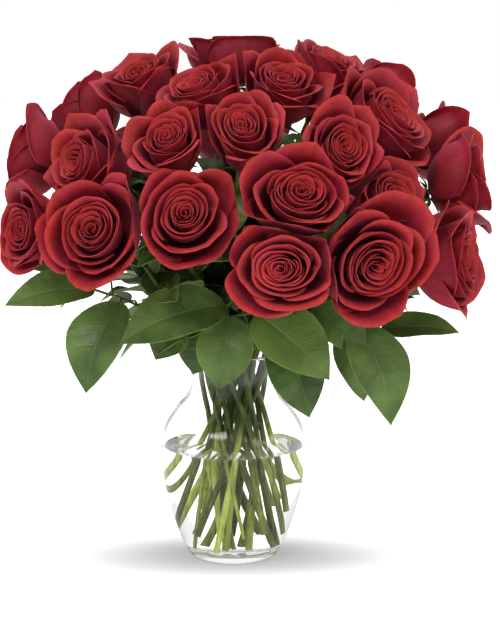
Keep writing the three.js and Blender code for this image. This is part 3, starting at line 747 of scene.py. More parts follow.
def petal_grids(rose, settings, draw):
    """The middle surfaces of a bloom's petals, [petal, row, column, xyz], in its own frame and mm, their
    column and row values, and their light."""
    p = petal_plan(rose, settings.petals, draw)
    u = np.linspace(-1, 1, settings.columns)[None, None, :]
    v = np.linspace(0, 1, settings.rows)[None, :, None] ** 0.72
    r, z = petal_section(p, u, v)
    # The rim has a pointed middle and sharp folds, and one side tucks in under its neighbour.
    rim = p.point * np.exp(-np.abs(u) / 0.16) * v**6
    for at, size in zip(p.folds, p.fold_size):
        rim = rim + size * np.exp(-np.abs(u - at) / 0.14) * v**3
    corner = p.squared * (np.sqrt(u * u + 0.02) - 0.14) * v**3
    r = r * (1 - 0.02 * u * u - corner + p.tucked * u) + rim
    slow = (0.8 + 1.4 * p.outer) * np.sin(3.1 * u + p.phase)
    wave = slow + (0.25 + 0.5 * p.outer) * np.sin(8 * u + 2 * p.phase)
    hollow = 0.5 * p.outer * np.sin(p.phase + 5 * v) * np.cos(2 * u) * v
    r = r + wave * v**4 + hollow
    z = z + (1.3 * wave + p.tilt * u) * v**4 + 0.6 * rim
    theta = p.turn + p.half * (0.66 + 0.34 * smooth(v / 0.6)) * u
    grids = np.stack(np.broadcast_arrays(r * np.cos(theta), r * np.sin(theta), z), axis=-1)
    return uneven(grids, draw) * rose[3], u, v, petal_light(p, u, v)


def uneven(grids, draw):
    """No bloom is quite round or upright: it is a little oval, and its heart leans."""
    long_way = draw.uniform(0, math.pi)
    oval = np.array([math.cos(2 * long_way), math.sin(2 * long_way)]) * draw.uniform(0.05, 0.15)
    lean = draw.uniform(3.0, 7.5) * unit(draw.normal(size=2))
    x, y, z = np.moveaxis(grids, -1, 0)
    rise = np.clip(z - 22, 0, None) / 26
    inward = np.exp(-((np.hypot(x, y) / 26) ** 2))
    x, y = x * (1 + oval[0]) + y * oval[1], y * (1 - oval[0]) + x * oval[1]
    return np.stack([x + lean[0] * rise**2 * inward, y + lean[1] * rise**2 * inward, z], axis=-1)


def hold_in_box(points):
    """Points near the sides of the frame's box are eased back inside it."""
    low, high = (np.array(corner) / MM for corner in CAD_BOX)
    room = BOX_EASE - BOX_CLEAR
    for sign, face in ((1, high), (-1, low)):
        depth = (face - points) * sign
        eased = BOX_CLEAR + room * np.exp((np.minimum(depth, BOX_EASE) - BOX_EASE) / room)
        back = np.where(depth < BOX_EASE, eased - depth, 0)
        back[:, 2] *= sign > 0
        points = points - sign * back
    return points


def make_bloom(index, settings, material):
    """One bloom of separate curled petals, each a closed thin shell, in one piece."""
    draw = np.random.default_rng(settings.seed + index)
    _, turned, _, base = rose_frame(ROSES[index])
    grids, u, v, lit = petal_grids(ROSES[index], settings, draw)
    count = len(grids)
    thickness = settings.petal_thickness / MM * np.broadcast_to(1.25 - 0.4 * v, grids.shape[:3])
    points, quads, inner = shells(grids, thickness)
    points = hold_in_box(press(points, press_limits(index)) @ turned.T + base)
    petal = np.repeat(np.arange(count) * 3.7 + index, len(points) // count)
    marks = {"inner": inner, "petal": petal, "lit": lit}
    name = f"rose_bloom_{index + 1:02d}_petals"
    return mesh_object(name, points, quads, material, grid_uv(count, u, v), marks)


# ---- Stems ----
def radius_at(z):
    """The radius of the vase's inner wall at a height."""
    heights, radii = np.array(STEM_WALL, float)[::-1].T
    return np.interp(z, heights, radii)


def planned_stem(index, top, axis, steps):
    """A stem before it is eased off the others: a foot in the water, then a bend from the rim to the top."""
    lean = min(max(math.hypot(top[0], top[1]) / WIDEST_LEAN, 0.15), 1)
    around = math.atan2(top[1], top[0])
    rim = np.array([math.cos(around) * RIM_LEAN_R * lean, math.sin(around) * RIM_LEAN_R * lean, RIM_CLEAR_Z])
    across = around + math.pi + FOOT_SWING * math.sin(SWING_STEP * index + SWING_START)
    z = FOOT_Z + FOOT_RISE * lean * (0.5 + 0.5 * math.sin(RISE_STEP * index + RISE_START)) ** 2
    out = (radius_at(z) - FOOT_IN) * (0.3 + 0.7 * lean)
    foot = np.array([math.cos(across) * out, math.sin(across) * out, z])
    reach = np.linalg.norm(top - rim)
    leaving = rim + unit(rim - foot) * LEAVING_SHARE * reach
    arriving = top - axis * ARRIVING_SHARE * reach
    return np.concatenate([[foot], bezier(rim, leaving, arriving, top, np.linspace(0, 1, steps + 1))])


def spans_apart(a, b, c, d):
    """For pairs of spans a-b and c-d: the shares where they are nearest, and the gap from the second."""
    u, v, w = b - a, d - c, a - c
    uu, uv, vv = (u * u).sum(1), (u * v).sum(1), (v * v).sum(1)
    uw, vw = (u * w).sum(1), (v * w).sum(1)
    det = uu * vv - uv * uv
    s = np.where(det > 1e-9, np.clip((uv * vw - vv * uw) / np.where(det > 1e-9, det, 1), 0, 1), 0.5)
    t = np.clip((uv * s + vw) / vv, 0, 1)
    s = np.clip((uv * t - uw) / uu, 0, 1)
    return s, t, w + u * s[:, None] - v * t[:, None]


def short(moves):
    """Moves cut to the longest one allowed in a round."""
    length = np.linalg.norm(moves, axis=1, keepdims=True)
    return moves * np.minimum(1, EASE_MOST / np.maximum(length, 1e-9))


def inside_moves(points, radii):
    """The moves that bring points back inside the vase's wall."""
    room = radius_at(points[:, 2]) - radii * 1.3 - WALL_CLEAR
    share = np.minimum(0, room / np.maximum(np.hypot(points[:, 0], points[:, 1]), 1e-9) - 1)
    return points * np.array([1, 1, 0]) * share[:, None]


def pushes_apart(points, a, c, need):
    """How far each point is pushed where the spans that start at a and c come nearer than they need."""
    s, t, apart = spans_apart(points[a], points[a + 1], points[c], points[c + 1])
    gap = np.linalg.norm(apart, axis=1)
    near = gap < need
    step = apart[near] * (EASE_PUSH * (need - gap) / np.maximum(gap, 0.01))[near, None]
    s, t = s[near, None], t[near, None]
    pushes = np.zeros_like(points)
    for at, push in ((a, step * (1 - s)), (a + 1, step * s), (c, step * (t - 1)), (c + 1, -step * t)):
        np.add.at(pushes, at[near], push)
    return pushes


def eased(paths, radii):
    """Stems' paths pushed off each other and held inside the vase. Their ends at the top stay."""
    sizes = np.array([len(path) for path in paths])
    first = np.concatenate([[0], np.cumsum(sizes)[:-1]])
    points = np.concatenate(paths)
    span = np.concatenate([np.arange(f, f + n - 1) for f, n in zip(first, sizes)])
    owner = np.repeat(np.arange(len(paths)), sizes - 1)
    i, j = np.nonzero(owner[:, None] < owner[None, :])
    need = radii[owner[i]] + radii[owner[j]] + STEM_GAP
    for _ in range(EASE_ROUNDS):
        pushes = pushes_apart(points, span[i], span[j], need)
        for k in range(4):
            held = sizes > k + 2
            at, size = first[held] + k, radii[held]
            if k < 2:
                points[at] += short(pushes[at] * np.array([1, 1, 0]))
                points[at] += inside_moves(points[at], size)
            else:
                middle = (points[at - 1] + points[at + 1]) / 2
                points[at] += short(pushes[at] + (middle - points[at]) * EASE_SMOOTHING)
        foot, rim = points[first], points[first + 1]
        share = (NECK_Z - foot[:, 2]) / (rim[:, 2] - foot[:, 2])
        points[first + 1] += inside_moves(foot + (rim - foot) * share[:, None], radii)
    return np.split(points, first[1:])


def stem_paths():
    """The eased path of each stem, rose stems first and then the sprays', in mm."""
    paths = []
    for i, rose in enumerate(ROSES):
        axis, _, _, base = rose_frame(rose)
        paths.append(planned_stem(i, base - axis * HIP_LENGTH, axis, 4))
    for i, leaves in enumerate(SPRAYS.values()):
        end = np.array(leaves[0][0], float)
        axis = unit(np.array([*unit(end[:2]), 0.6]))
        paths.append(planned_stem(len(ROSES) + i, end, axis, 3))
    return eased(paths, np.array([STEM_R] * len(ROSES) + [SPRAY_R] * len(SPRAYS)))


def stem_line(path, end):
    """A dense smooth path in mm: straight from the foot to the rim, then curved to the end."""
    straight = path[0] + (path[1] - path[0]) * np.linspace(0, 1, 22)[:-1, None]
    knots = np.concatenate([[path[1]], path[2:], [end]])
    ahead = path[1] + unit(path[1] - path[0]) * -20
    curve = through(np.concatenate([[ahead], knots]), 8 * len(knots) + 1)
    start = np.argmin(np.linalg.norm(curve - path[1], axis=1))
    return np.concatenate([straight, curve[start:]])


def near_path(path, p):
    """The nearest point of a stem above the rim."""
    best = path[-1]
    for a, b in zip(path[1:-1], path[2:]):
        t = np.clip((p - a) @ (b - a) / ((b - a) @ (b - a)), 0, 1)
        q = a + (b - a) * t
        if q[2] > VASE_TOP + 8 and np.linalg.norm(q - p) < np.linalg.norm(best - p):
            best = q
    return best


def random(low, high, seed):
    """A number of its own for every point."""
    return wire("FunctionNodeRandomValue", {2: low, 3: high, "Seed": seed}, 1, data_type="FLOAT")


def turned_by(rotation, axis, angle):
    """A rotation turned further about its own axis."""
    tree = rotation.socket.id_data
    by = source(tree, "FunctionNodeAxisAngleToRotation", {"Axis": axis, "Angle": angle})
    inputs = {"Rotation": rotation, "Rotate By": by}
    return wire("FunctionNodeRotateRotation", inputs, rotation_space="LOCAL")


def stored(curve, value):
    """A curve whose points carry a number named along."""
    inputs = {"Geometry": curve, "Name": "along", "Value": value}
    return wire("GeometryNodeStoreNamedAttribute", inputs, data_type="FLOAT", domain="POINT")


def instances(dots, chosen, instance, rotation, scale):
    """Copies of a thing on the points of a curve."""
    return wire("GeometryNodeInstanceOnPoints", {
        "Points": dots["Points"], "Selection": chosen, "Instance": instance, "Rotation": rotation,
        "Scale": scale,
    })


def joined(tree, pieces):
    """Meshes in one."""
    made = new_node(tree, "GeometryNodeJoinGeometry")
    for piece in pieces:
        tree.links.new(piece.socket, made.inputs[0])
    return Wire(made.outputs[0])


def realized(mesh):
    """Copies made into real faces."""
    return wire("GeometryNodeRealizeInstances", {"Geometry": mesh})


def stem_tree():
    """The node tree that turns a line into a round stem with slight swellings, thorns and small leaves."""
    if "plant_stem" in bpy.data.node_groups:
        return bpy.data.node_groups["plant_stem"]
    tree = bpy.data.node_groups.new("plant_stem", "GeometryNodeTree")
    sockets = {
        "Line": ("Geometry", None), "Radius": ("Float", STEM_R * MM), "Taper": ("Float", 0.9),
        "Sides": ("Int", 16), "Swelling": ("Float", 0.16), "Spacing": ("Float", 0.055),
        "Thorns": ("Int", 12), "Thorn size": ("Float", 0.004), "Thorns above": ("Float", THORNS_FROM * MM),
        "Leaflet": ("Object", None), "Leaflets": ("Int", 0),
        "Leaflets above": ("Float", LEAFLETS_FROM * MM), "Seed": ("Int", 1), "Skin": ("Material", None),
    }
    for key, (kind, default) in sockets.items():
        socket = tree.interface.new_socket(key, in_out="INPUT", socket_type="NodeSocket" + kind)
        if default is not None:
            socket.default_value = default
    tree.interface.new_socket("Stem", in_out="OUTPUT", socket_type="NodeSocketGeometry")
    given = add(tree, "NodeGroupInput")
    curve = wire("GeometryNodeMeshToCurve", {"Mesh": given["Line"]})
    place = add(tree, "GeometryNodeSplineParameter")
    height = split(source(tree, "GeometryNodeInputPosition"))[2]
    stem = round_stem(given, stored(curve, place["Length"]), place)
    whole = realized(joined(tree, [thorns_on(curve, given, height), stem]))
    skinned = wire("GeometryNodeSetMaterial", {"Geometry": whole, "Material": given["Skin"]})
    leaflets = leaflets_on(curve, given, place["Factor"], height)
    add(tree, "NodeGroupOutput", {0: joined(tree, [leaflets, skinned])})
    return tree


def round_stem(given, curve, place):
    """The stem itself, with a slight swelling at even spaces, thinner towards its end."""
    phase = place["Length"].sum("DIVIDE", given["Spacing"]) + given["Seed"] * 0.37
    peak = (phase.sum("PINGPONG", 0.5) * 2.0).sum("POWER", 14.0)
    thin = place["Factor"] * (given["Taper"] + -1.0) + 1.0
    ring = wire("GeometryNodeCurvePrimitiveCircle", {"Resolution": given["Sides"], "Radius": 1.0})
    return wire("GeometryNodeCurveToMesh", {
        "Curve": curve, "Profile Curve": ring, "Fill Caps": True,
        "Scale": (peak * given["Swelling"] + 1.0) * thin * given["Radius"],
    })


def thorns_on(curve, given, height):
    """Thorns set at random turns round a stem."""
    tree, seed = curve.socket.id_data, given["Seed"]
    dots = add(tree, "GeometryNodeCurveToPoints", {"Curve": curve, "Count": given["Thorns"]}, mode="COUNT")
    about = turned_by(dots["Rotation"], (0, 0, 1), random(0.0, 6.283, seed))
    outwards = turned_by(about, (0, 1, 0), math.radians(84))
    thorn = source(tree, "GeometryNodeMeshCone", {
        "Vertices": 7, "Radius Top": 0.0001, "Radius Bottom": 0.0016, "Depth": 1.0,
    }, fill_type="TRIANGLE_FAN")
    long = random(0.7, 1.2, seed) * (given["Thorn size"] + given["Radius"])
    high = height.sum("GREATER_THAN", given["Thorns above"])
    return instances(dots, high, thorn, outwards, combine(1.0, 1.0, long))


def leaflets_on(curve, given, along, height):
    """Small leaves set round a stem above the rim, each turned on from the last and leaning out."""
    tree, seed = curve.socket.id_data, given["Seed"]
    even = wire("GeometryNodeResampleCurve", {"Curve": curve, "Count": given["Leaflets"]}, mode="COUNT")
    dots = add(tree, "GeometryNodeCurveToPoints", {"Curve": stored(even, along)}, mode="EVALUATED")
    jitter = random(-0.5, 0.5, seed)
    spin = source(tree, "GeometryNodeInputIndex") * 2.4 + (seed * 1.7 + jitter)
    about = turned_by(dots["Rotation"], (0, 0, 1), spin)
    leaning = turned_by(about, (0, 1, 0), jitter * 0.7 + 0.95)
    leaf = wire("GeometryNodeObjectInfo", {"Object": given["Leaflet"], "As Instance": True}, "Geometry")
    far = source(tree, "GeometryNodeInputNamedAttribute", {"Name": "along"}, data_type="FLOAT")
    chosen = height.sum("GREATER_THAN", given["Leaflets above"]) * far.sum("LESS_THAN", 0.93)
    return realized(instances(dots, chosen, leaf, leaning, random(0.85, 1.65, seed)))


def tube(name, line, inputs, tone=0.4):
    """A stem grown by the node tree along a line in mm, as a plain mesh object. tone runs from dark to
    light."""
    mesh = bpy.data.meshes.new(name)
    edges = [(k, k + 1) for k in range(len(line) - 1)]
    mesh.from_pydata((np.asarray(line) * MM).tolist(), edges, [])
    grown = new_object(name, mesh)
    modifier = grown.modifiers.new("Stem", "NODES")
    modifier.node_group = stem_tree()
    keys = {item.name: item.identifier for item in modifier.node_group.interface.items_tree}
    for key, value in inputs.items():
        modifier[keys[key]] = value
    graph = bpy.context.evaluated_depsgraph_get()
    plain_mesh = bpy.data.meshes.new_from_object(grown.evaluated_get(graph))
    grown.modifiers.clear()
    grown.data = shaded(plain_mesh, CREASE, {"tone": np.full(len(plain_mesh.vertices), tone)})
    bpy.data.meshes.remove(mesh)
    plain_mesh.name = name
    return grown


def join(name, objects):
    """One object of several, keeping each one's materials, maps and attributes."""
    with bpy.context.temp_override(active_object=objects[0], selected_editable_objects=objects):
        bpy.ops.object.join()
    objects[0].name = name
    objects[0].data.name = name
    return objects[0]


def stem_material(settings):
    """Green skin with lengthwise streaks and fibres, with painted light that makes it much lighter in the
    water.
    """
    material, tree, shader = new_material("stem_skin")
    coords, tone = object_place(tree), mark(tree, "tone")
    blotch, _ = mottle(coords, 45.0, 700.0)
    stretched = moved(coords, Scale=(1.0, 1.0, 0.06))
    fibres, streaks = noise(stretched, 1400.0, 3.0), noise(stretched, 420.0, 2.0)
    colour = mix(blotch * 0.45 + tone * 0.55, settings.stem_colour, settings.stem_light)
    # Painted light: below the water line the stems are mixed towards a light green, as if lit there, while
    # above it they stand in the leaves' shade.
    wet = ease(split(coords)[2], 0.14, 0.1) * (tone * 0.95)
    colour = mix(wet, colour, settings.lit_in_water_colour)
    lines = ranged(fibres * 0.35 + streaks * 0.65, 0.35, 0.65, 0.5, 1.3)
    set_inputs(shader, {
        "Base Color": tinted(colour, lines * bunch_shade(coords)), "Roughness": 0.42,
        "Normal": bump(fibres, 0.4, 0.0004), "Specular IOR Level": 0.18,
    })
    return material


# ---- Leaves ----
def leaf_lines(leaf, rows, columns, settings, draw):
    """A leaf's middle surface in mm, [row, column, xyz], with its column and row values."""
    base, tip, half, faces, bow = leaf
    base, tip = np.array(base, float), np.array(tip, float)
    length = np.linalg.norm(tip - base)
    along = (tip - base) / length
    side = unit(np.cross(along, facing(*faces)))
    normal = np.cross(side, along)
    u = np.linspace(-1, 1, columns)[None, :]
    t = np.linspace(0, 1, rows)[:, None]
    out, hump = np.abs(u), np.sin(math.pi * t)
    width = np.maximum(np.sin(math.pi * t**0.86) ** (0.52 + 0.42 * t**2), 0.015)
    teeth = 1 - settings.serration * np.mod(t * length * 0.36 + 0.5 * np.sign(u), 1) * out**6
    across = u * half * width * teeth + half * 0.06 * draw.normal() * hump
    phase, phase2 = draw.uniform(0, 6.28, 2)
    fold = 0.22 * out**1.3 * half * width
    groove = 0.5 * np.exp(-((u / 0.07) ** 2)) * (1 - 0.6 * t)
    veins = 0.35 * np.cos((t * 7.5 - 2.4 * out * width * half / length) * 2 * math.pi) * out * (1 - out**4)
    edge = settings.leaf_wave / MM * np.sin(9 * t + phase + 1.4 * np.sign(u)) * out**2 * hump
    roll = draw.uniform(-0.5, 0.5) * 0.1 * half * u * hump
    drop = 0.05 * length * t**4 * draw.uniform(0.2, 1.4)
    sway = 0.6 * np.sin(5 * t + phase2) * hump
    raised = 4 * bow * t * (1 - t) + fold - groove + veins + edge + roll - drop + sway
    spine = base + along * (length * t)[..., None]
    grid = spine + across[..., None] * side + raised[..., None] * normal
    return grid, u, t, normal


def make_leaf(name, leaf, stalk_from, settings, materials, draw):
    """A leaf with its stalk."""
    grid, u, t, normal = leaf_lines(leaf, settings.leaf_rows, settings.leaf_columns, settings, draw)
    thickness = settings.leaf_thickness / MM * (1.0 - 0.3 * np.abs(u))
    blade = leaf_shell(name, grid, u, t, thickness, materials["leaf"], draw.uniform(0, 50))
    middle = grid[:, grid.shape[1] // 2]
    root = middle[0]
    gap = np.linalg.norm(root - stalk_from)
    leaving = stalk_from + (root - stalk_from) * 0.5 - normal * 0.1 * gap + np.array([0, 0, 0.08 * gap])
    arriving = root - unit(middle[4] - root) * 0.3 * gap
    run = bezier(stalk_from, leaving, arriving, root, np.linspace(0, 1, 9))
    below = middle[1:] - normal * settings.leaf_thickness / MM
    stalk = tube(name + "_stalk", np.concatenate([run, below[2 : int(len(below) * 0.8) : 4]]), {
        "Radius": STALK_R * MM, "Taper": 0.25, "Sides": 8, "Swelling": 0.0, "Thorns": 1,
        "Thorns above": NOWHERE * MM, "Skin": materials["stem"],
    })
    return [blade, stalk]


def leaf_shell(name, grid, u, t, thickness, material, number):
    """A leaf as a closed thin shell. number sets its colours apart from those of the next leaf."""
    points, quads, under = shells(grid[None], np.broadcast_to(thickness, grid.shape[:2])[None])
    marks = {"under": under, "petal": np.full(len(points), number)}
    return mesh_object(name, points, quads, material, grid_uv(1, u, t), marks)


def leaflet_template(settings, material):
    """One small leaf standing on its own base along +Z, its upper side towards -X."""
    draw = np.random.default_rng(settings.seed)
    grid, u, t, _ = leaf_lines(LEAFLET, 17, 9, settings, draw)
    grid = np.concatenate([np.linspace((0.0, -0.5, 0.0), (0.0, 0.5, 0.0), 9)[None], grid])
    t = np.concatenate([[[0.0]], t])
    return leaf_shell("leaflet", grid, u, t, SMALL_LEAF_THICKNESS, material, 9.0)


def off_middle(column):
    """How far a column of a leaf's map is from the midrib, from 0 to 1."""
    return (column * 2.0 + -1.0).sum("ABSOLUTE")


def leaf_veins(uv, leaf):
    """The veins of a leaf from its own map: a midrib, side veins that sweep to the tip, and a fine net."""
    def fill(uv, leaf, pairs):
        column, up, _ = split(uv)
        out = off_middle(column)
        midrib = ease(out, 0.075, 0.015)
        place = combine(out, up, leaf)
        swept = (out.sum("POWER", 1.25) * -0.16 + up) * pairs
        row = noise(place, 3.0, 1.0) * 0.16 + swept
        side_veins = ease(row.sum("PINGPONG", 0.5), 0.055, 0.008) * ease(out, 1.0, 0.55)
        cells = wire("ShaderNodeTexVoronoi", {"Vector": place, "Scale": 34.0}, "Distance",
                     feature="DISTANCE_TO_EDGE")
        return side_veins.sum("MAXIMUM", midrib), ease(cells, 0.08, 0.0)

    return shared("leaf_veins", {"Map": uv, "Leaf": leaf, "Pairs": 7.5}, ["Veins", "Net"], fill)


def leaf_material(settings):
    """Waxy green above with sunken pale veins, and a paler matt back."""
    material, tree, shader = new_material("leaf_green")
    uv, coords = own_map(tree), object_place(tree)
    leaf, under = mark(tree, "petal"), mark(tree, "under")
    veins, net = leaf_veins(uv, leaf)
    blotch, _ = mottle(coords, 28.0, 800.0)
    own = wire("ShaderNodeTexWhiteNoise", {"W": leaf}, "Value", noise_dimensions="1D")
    edge = ease(off_middle(split(uv)[0]), 0.96, 1.0) * 0.5
    colour = mix(blotch * 0.45 + own * 0.5, settings.leaf_dark, settings.leaf_light)
    for share in (net * 0.12, veins * 0.13, edge):
        colour = mix(share, colour, settings.vein_colour)
    colour = mix(under * 0.6, colour, settings.leaf_back)
    set_inputs(shader, {
        "Base Color": tinted(colour, bunch_shade(coords)), "Roughness": under * 0.25 + 0.34,
        "Normal": bump(veins * -0.7 + net * -0.25, 0.8, 0.0009), "Specular IOR Level": 0.4,
        "Subsurface Weight": 0.08, "Subsurface Radius": (0.4, 1.0, 0.15), "Subsurface Scale": 0.002,
    })
    return material


def plant_materials(settings):
    """The stem and leaf materials, made once."""
    if "stem_skin" not in bpy.data.materials:
        stem_material(settings)
        leaf_material(settings)
    return {"stem": bpy.data.materials["stem_skin"], "leaf": bpy.data.materials["leaf_green"]}


# ---- The rose's hip and sepals ----
def sepal_grid(number, index, u, t, draw):
    """The middle surface of one narrow arched sepal, in the bloom's own frame and mm."""
    drop = 6 + 9 * math.sin(index + 2.4 * number)
    turn = math.radians(360 / SEPALS * number + 36) - math.pi / 2
    reach = 27 - 0.3 * drop
    out = bezier((4.6, 0.2), (13, 3.0), (reach - 6, 1.0 - 0.4 * drop), (reach, -drop), t[:, 0])
    width = 3.0 * np.sin(math.pi * np.clip(t, 0, 1) ** 0.55) ** 0.8 + 0.12
    w = u * width + draw.normal(0, 1.6) * t**2
    r = out[:, :1] + 0 * u
    z = out[:, 1:] + 0.3 * width * np.abs(u)
    x = r * math.cos(turn) - w * math.sin(turn)
    y = r * math.sin(turn) + w * math.cos(turn)
    return np.stack([x, y, z], axis=-1)


def hip_parts(index, materials, draw):
    """The swollen hip under a bloom and its sepals."""
    _, turned, _, base = rose_frame(ROSES[index])
    profile = through(HIP_PROFILE, 26)
    profile[-1, 0] = 0
    profile = np.concatenate([[HIP_END], profile])
    hip = turned_object(f"hip_{index}", profile, 20, materials["stem"], HIP_CREASE, {}, turned, base)
    u = np.linspace(-1, 1, 5)[None, :]
    t = np.linspace(0, 1, 18)[:, None]
    grids = np.array([sepal_grid(i, index, u, t, draw) for i in range(SEPALS)])
    points, quads, _ = shells(grids, np.full(grids.shape[:3], SMALL_LEAF_THICKNESS))
    uv = grid_uv(SEPALS, u[None], t[None])
    light = {"tone": np.ones(len(points))}
    points = points @ turned.T + base
    return [hip, mesh_object(f"sepals_{index}", points, quads, materials["stem"], uv, light)]


def make_rose_stem(index, path, settings, materials, leaflet):
    """A rose's stem with its thorns, hip, sepals and leaves."""
    draw = np.random.default_rng(settings.seed + ROSE_STEM_SEEDS + index)
    axis, _, _, base = rose_frame(ROSES[index])
    line = stem_line(path[:-1], base - axis * HIP_INTO)
    parts = [tube(f"stem_{index}", line, {
        "Radius": STEM_R * MM, "Taper": 0.85, "Sides": settings.sides, "Seed": index,
        "Spacing": float(draw.uniform(0.05, 0.07)), "Skin": materials["stem"],
        "Thorns": settings.thorns, "Leaflet": leaflet, "Leaflets": settings.leaflets,
    }, draw.uniform(0, 1))]
    parts += hip_parts(index, materials, draw)
    if index + 1 in ROSE_LEAVES:
        leaf = ROSE_LEAVES[index + 1]
        start = near_path(path, np.array(leaf[0], float))
        parts += make_leaf(f"leaf_{index}", leaf, start, settings, materials, draw)
    return join(f"rose_stem_{index + 1:02d}_round", parts)


def make_spray(number, path, settings, materials):
    """A leaf spray: its stem and its leaves."""
    name, leaves = list(SPRAYS.items())[number]
    draw = np.random.default_rng(settings.seed + SPRAY_SEEDS + number)
    end = path[-2] + (path[-1] - path[-2]) * 0.94
    parts = [tube(f"spray_{name}", stem_line(path[:-1], end), {
        "Radius": SPRAY_R * MM, "Taper": 0.7, "Sides": settings.sides, "Spacing": 0.04,
        "Seed": number + 40, "Thorns": 1, "Thorns above": NOWHERE * MM, "Skin": materials["stem"],
    })]
    forks = np.concatenate([path[:-1], [end]])
    for k, leaf in enumerate(leaves):
        start = near_path(forks, np.array(leaf[0], float))
        parts += make_leaf(f"leaf_{name}_{k}", leaf, start, settings, materials, draw)
    return join(f"leaf_spray_{name}_leaves", parts)


# ---- Vase and water ----
def mix_shaders(share, a, b):
    """One shader mixed with another."""
    return wire("ShaderNodeMixShader", {0: share, 1: a, 2: b})


def glass_material(name, ior, tint, mirror):
    """Clear glass or water. Light goes through it to the things behind, and it mirrors nothing where glass
    and water touch."""
    material, tree, shader = new_material(name)
    set_inputs(shader, {
        "Base Color": (*tint, 1), "Roughness": 0.0, "IOR": ior, "Transmission Weight": 1.0,
        "Specular Tint": (mirror, mirror, mirror, 1),
    })
    bending = source(tree, "ShaderNodeBsdfRefraction", {"Color": (*tint, 1), "Roughness": 0.0, "IOR": ior})
    clear = source(tree, "ShaderNodeBsdfTransparent", {"Color": (0.96, 0.965, 0.965, 1)})
    surface = mix_shaders(mark(tree, "wet"), Wire(shader.outputs[0]), bending)
    rays = add(tree, "ShaderNodeLightPath")
    passing = rays["Is Shadow Ray"].sum("MAXIMUM", rays["Is Diffuse Ray"])
    set_inputs(tree.nodes["Material Output"], {"Surface": mix_shaders(passing, surface, clear)})
    return material


def make_vase(settings):
    """The blown glass vase, thick at the foot, with a rounded rim."""
    outside = through(VASE_OUTSIDE, 110)
    profile = np.concatenate([outside, VASE_LIP, through(VASE_INSIDE, 100)])
    profile[0, 0] = profile[-1, 0] = 0
    profile[:, 1] = np.clip(profile[:, 1], 0, VASE_TOP)
    height, row = profile[:, 1], np.arange(len(profile))
    wet = (row > len(outside) + len(VASE_LIP)) & (height < WATER_Z) & (height > FOOT_TOP)
    material = glass_material("vase_clear_glass", settings.glass_ior, settings.glass_tint, GLASS_MIRROR)
    marks = {"wet": wet}
    return turned_object("vase_glass_body", profile, settings.vase_sides, material, GLASS_CREASE, marks)


def make_water(settings):
    """The water, a hair into the glass so that no film of air shows, with a raised edge where it wets it."""
    inner = through(VASE_INSIDE, 400)[::-1]
    inner[0, 0] = 0
    below = inner[inner[:, 1] < WATER_Z + WATER_EDGE + 0.1]
    outwards = np.minimum(WATER_INTO_GLASS, below[:, 0])
    side = below + np.stack([outwards, np.full(len(below), -0.05)], axis=1)
    side[0, 0] = 0
    side = side[::4]
    edge = side[-1, 0]
    r = edge - np.geomspace(0.25, 9, 12)
    top = np.stack([r, WATER_Z + WATER_EDGE * np.exp(-(edge - r) / WATER_EDGE_FADE)], axis=1)
    profile = np.concatenate([side, top, [(0, WATER_Z)]])
    wet = (np.arange(len(profile)) < len(side) - 1) & (profile[:, 1] > FOOT_TOP)
    material = glass_material("still_water", settings.water_ior, settings.water_tint, WATER_MIRROR)
    return turned_object("water_body", profile, settings.vase_sides, material, GLASS_CREASE, {"wet": wet})


# ---- Stage ----
def was_mirrored(tree):
    """1 for light that glass has mirrored and that has gone through few layers of glass, else 0."""
    rays = add(tree, "ShaderNodeLightPath")
    mirrored = rays["Glossy Depth"].sum("GREATER_THAN", 0.5)
    return mirrored * rays["Transmission Depth"].sum("LESS_THAN", FEW_LAYERS)


def floor_material():
    """White that glows by its own light, with a painted shadow: it darkens softly in an ellipse under the
    vase.
    """
    material, tree, shader = new_material("floor_white_painted_shadow")
    # Painted shadow and painted light: the floor glows white away from the vase and shows its grey only in a
    # soft ellipse under it, which stands in for the bunch's shadow.
    flattened = moved(object_place(tree), Location=(0.0, 0.025, 0.0), Scale=(1.0, 2.4, 1.0))
    far = ease(distance(flattened), 0.04, 0.3)
    set_inputs(shader, {
        "Base Color": (0.64, 0.64, 0.65, 1), "Roughness": 0.9, "Specular IOR Level": 0.1,
        "Emission Color": (1, 1, 1, 1), "Emission Strength": far * (was_mirrored(tree) * -0.7 + 1.0),
    })
    return material


def make_surround(fill):
    """White all round, with its light on the bunch held back and grey sides mirrored in the glass."""
    world = bpy.data.worlds.new("surround")
    world.use_nodes = True
    tree = world.node_tree
    tree.nodes.clear()
    upward = split(source(tree, "ShaderNodeTexCoord", output="Generated"))[2].sum("ABSOLUTE")
    mirrored = mix(ease(upward, 0.35, 0.75), (0.56, 0.56, 0.57), (0.92, 0.92, 0.92))
    light = mix(was_mirrored(tree), (1, 1, 1), mirrored)
    seen = add(tree, "ShaderNodeLightPath")
    direct = seen["Is Transmission Ray"].sum("MAXIMUM", seen["Is Glossy Ray"])
    direct = seen["Is Camera Ray"].sum("MAXIMUM", direct)
    sky = wire("ShaderNodeBackground", {"Color": light, "Strength": direct * (1.0 - fill) + fill})
    add(tree, "ShaderNodeOutputWorld", {"Surface": sky})
    return world


def add_lamp(name, at, size, power):
    """A soft square lamp that looks at the bunch."""
    lamp = bpy.data.lights.new(name, "AREA")
    lamp.size, lamp.energy = size, power
    made = new_object(name, lamp)
    made.location = at
    d = np.array(LAMP_TARGET) - np.array(at)
    flat = math.hypot(d[0], d[1])
    made.rotation_euler = (math.atan2(flat, -d[2]), 0, math.atan2(d[1], d[0]) - math.pi / 2)


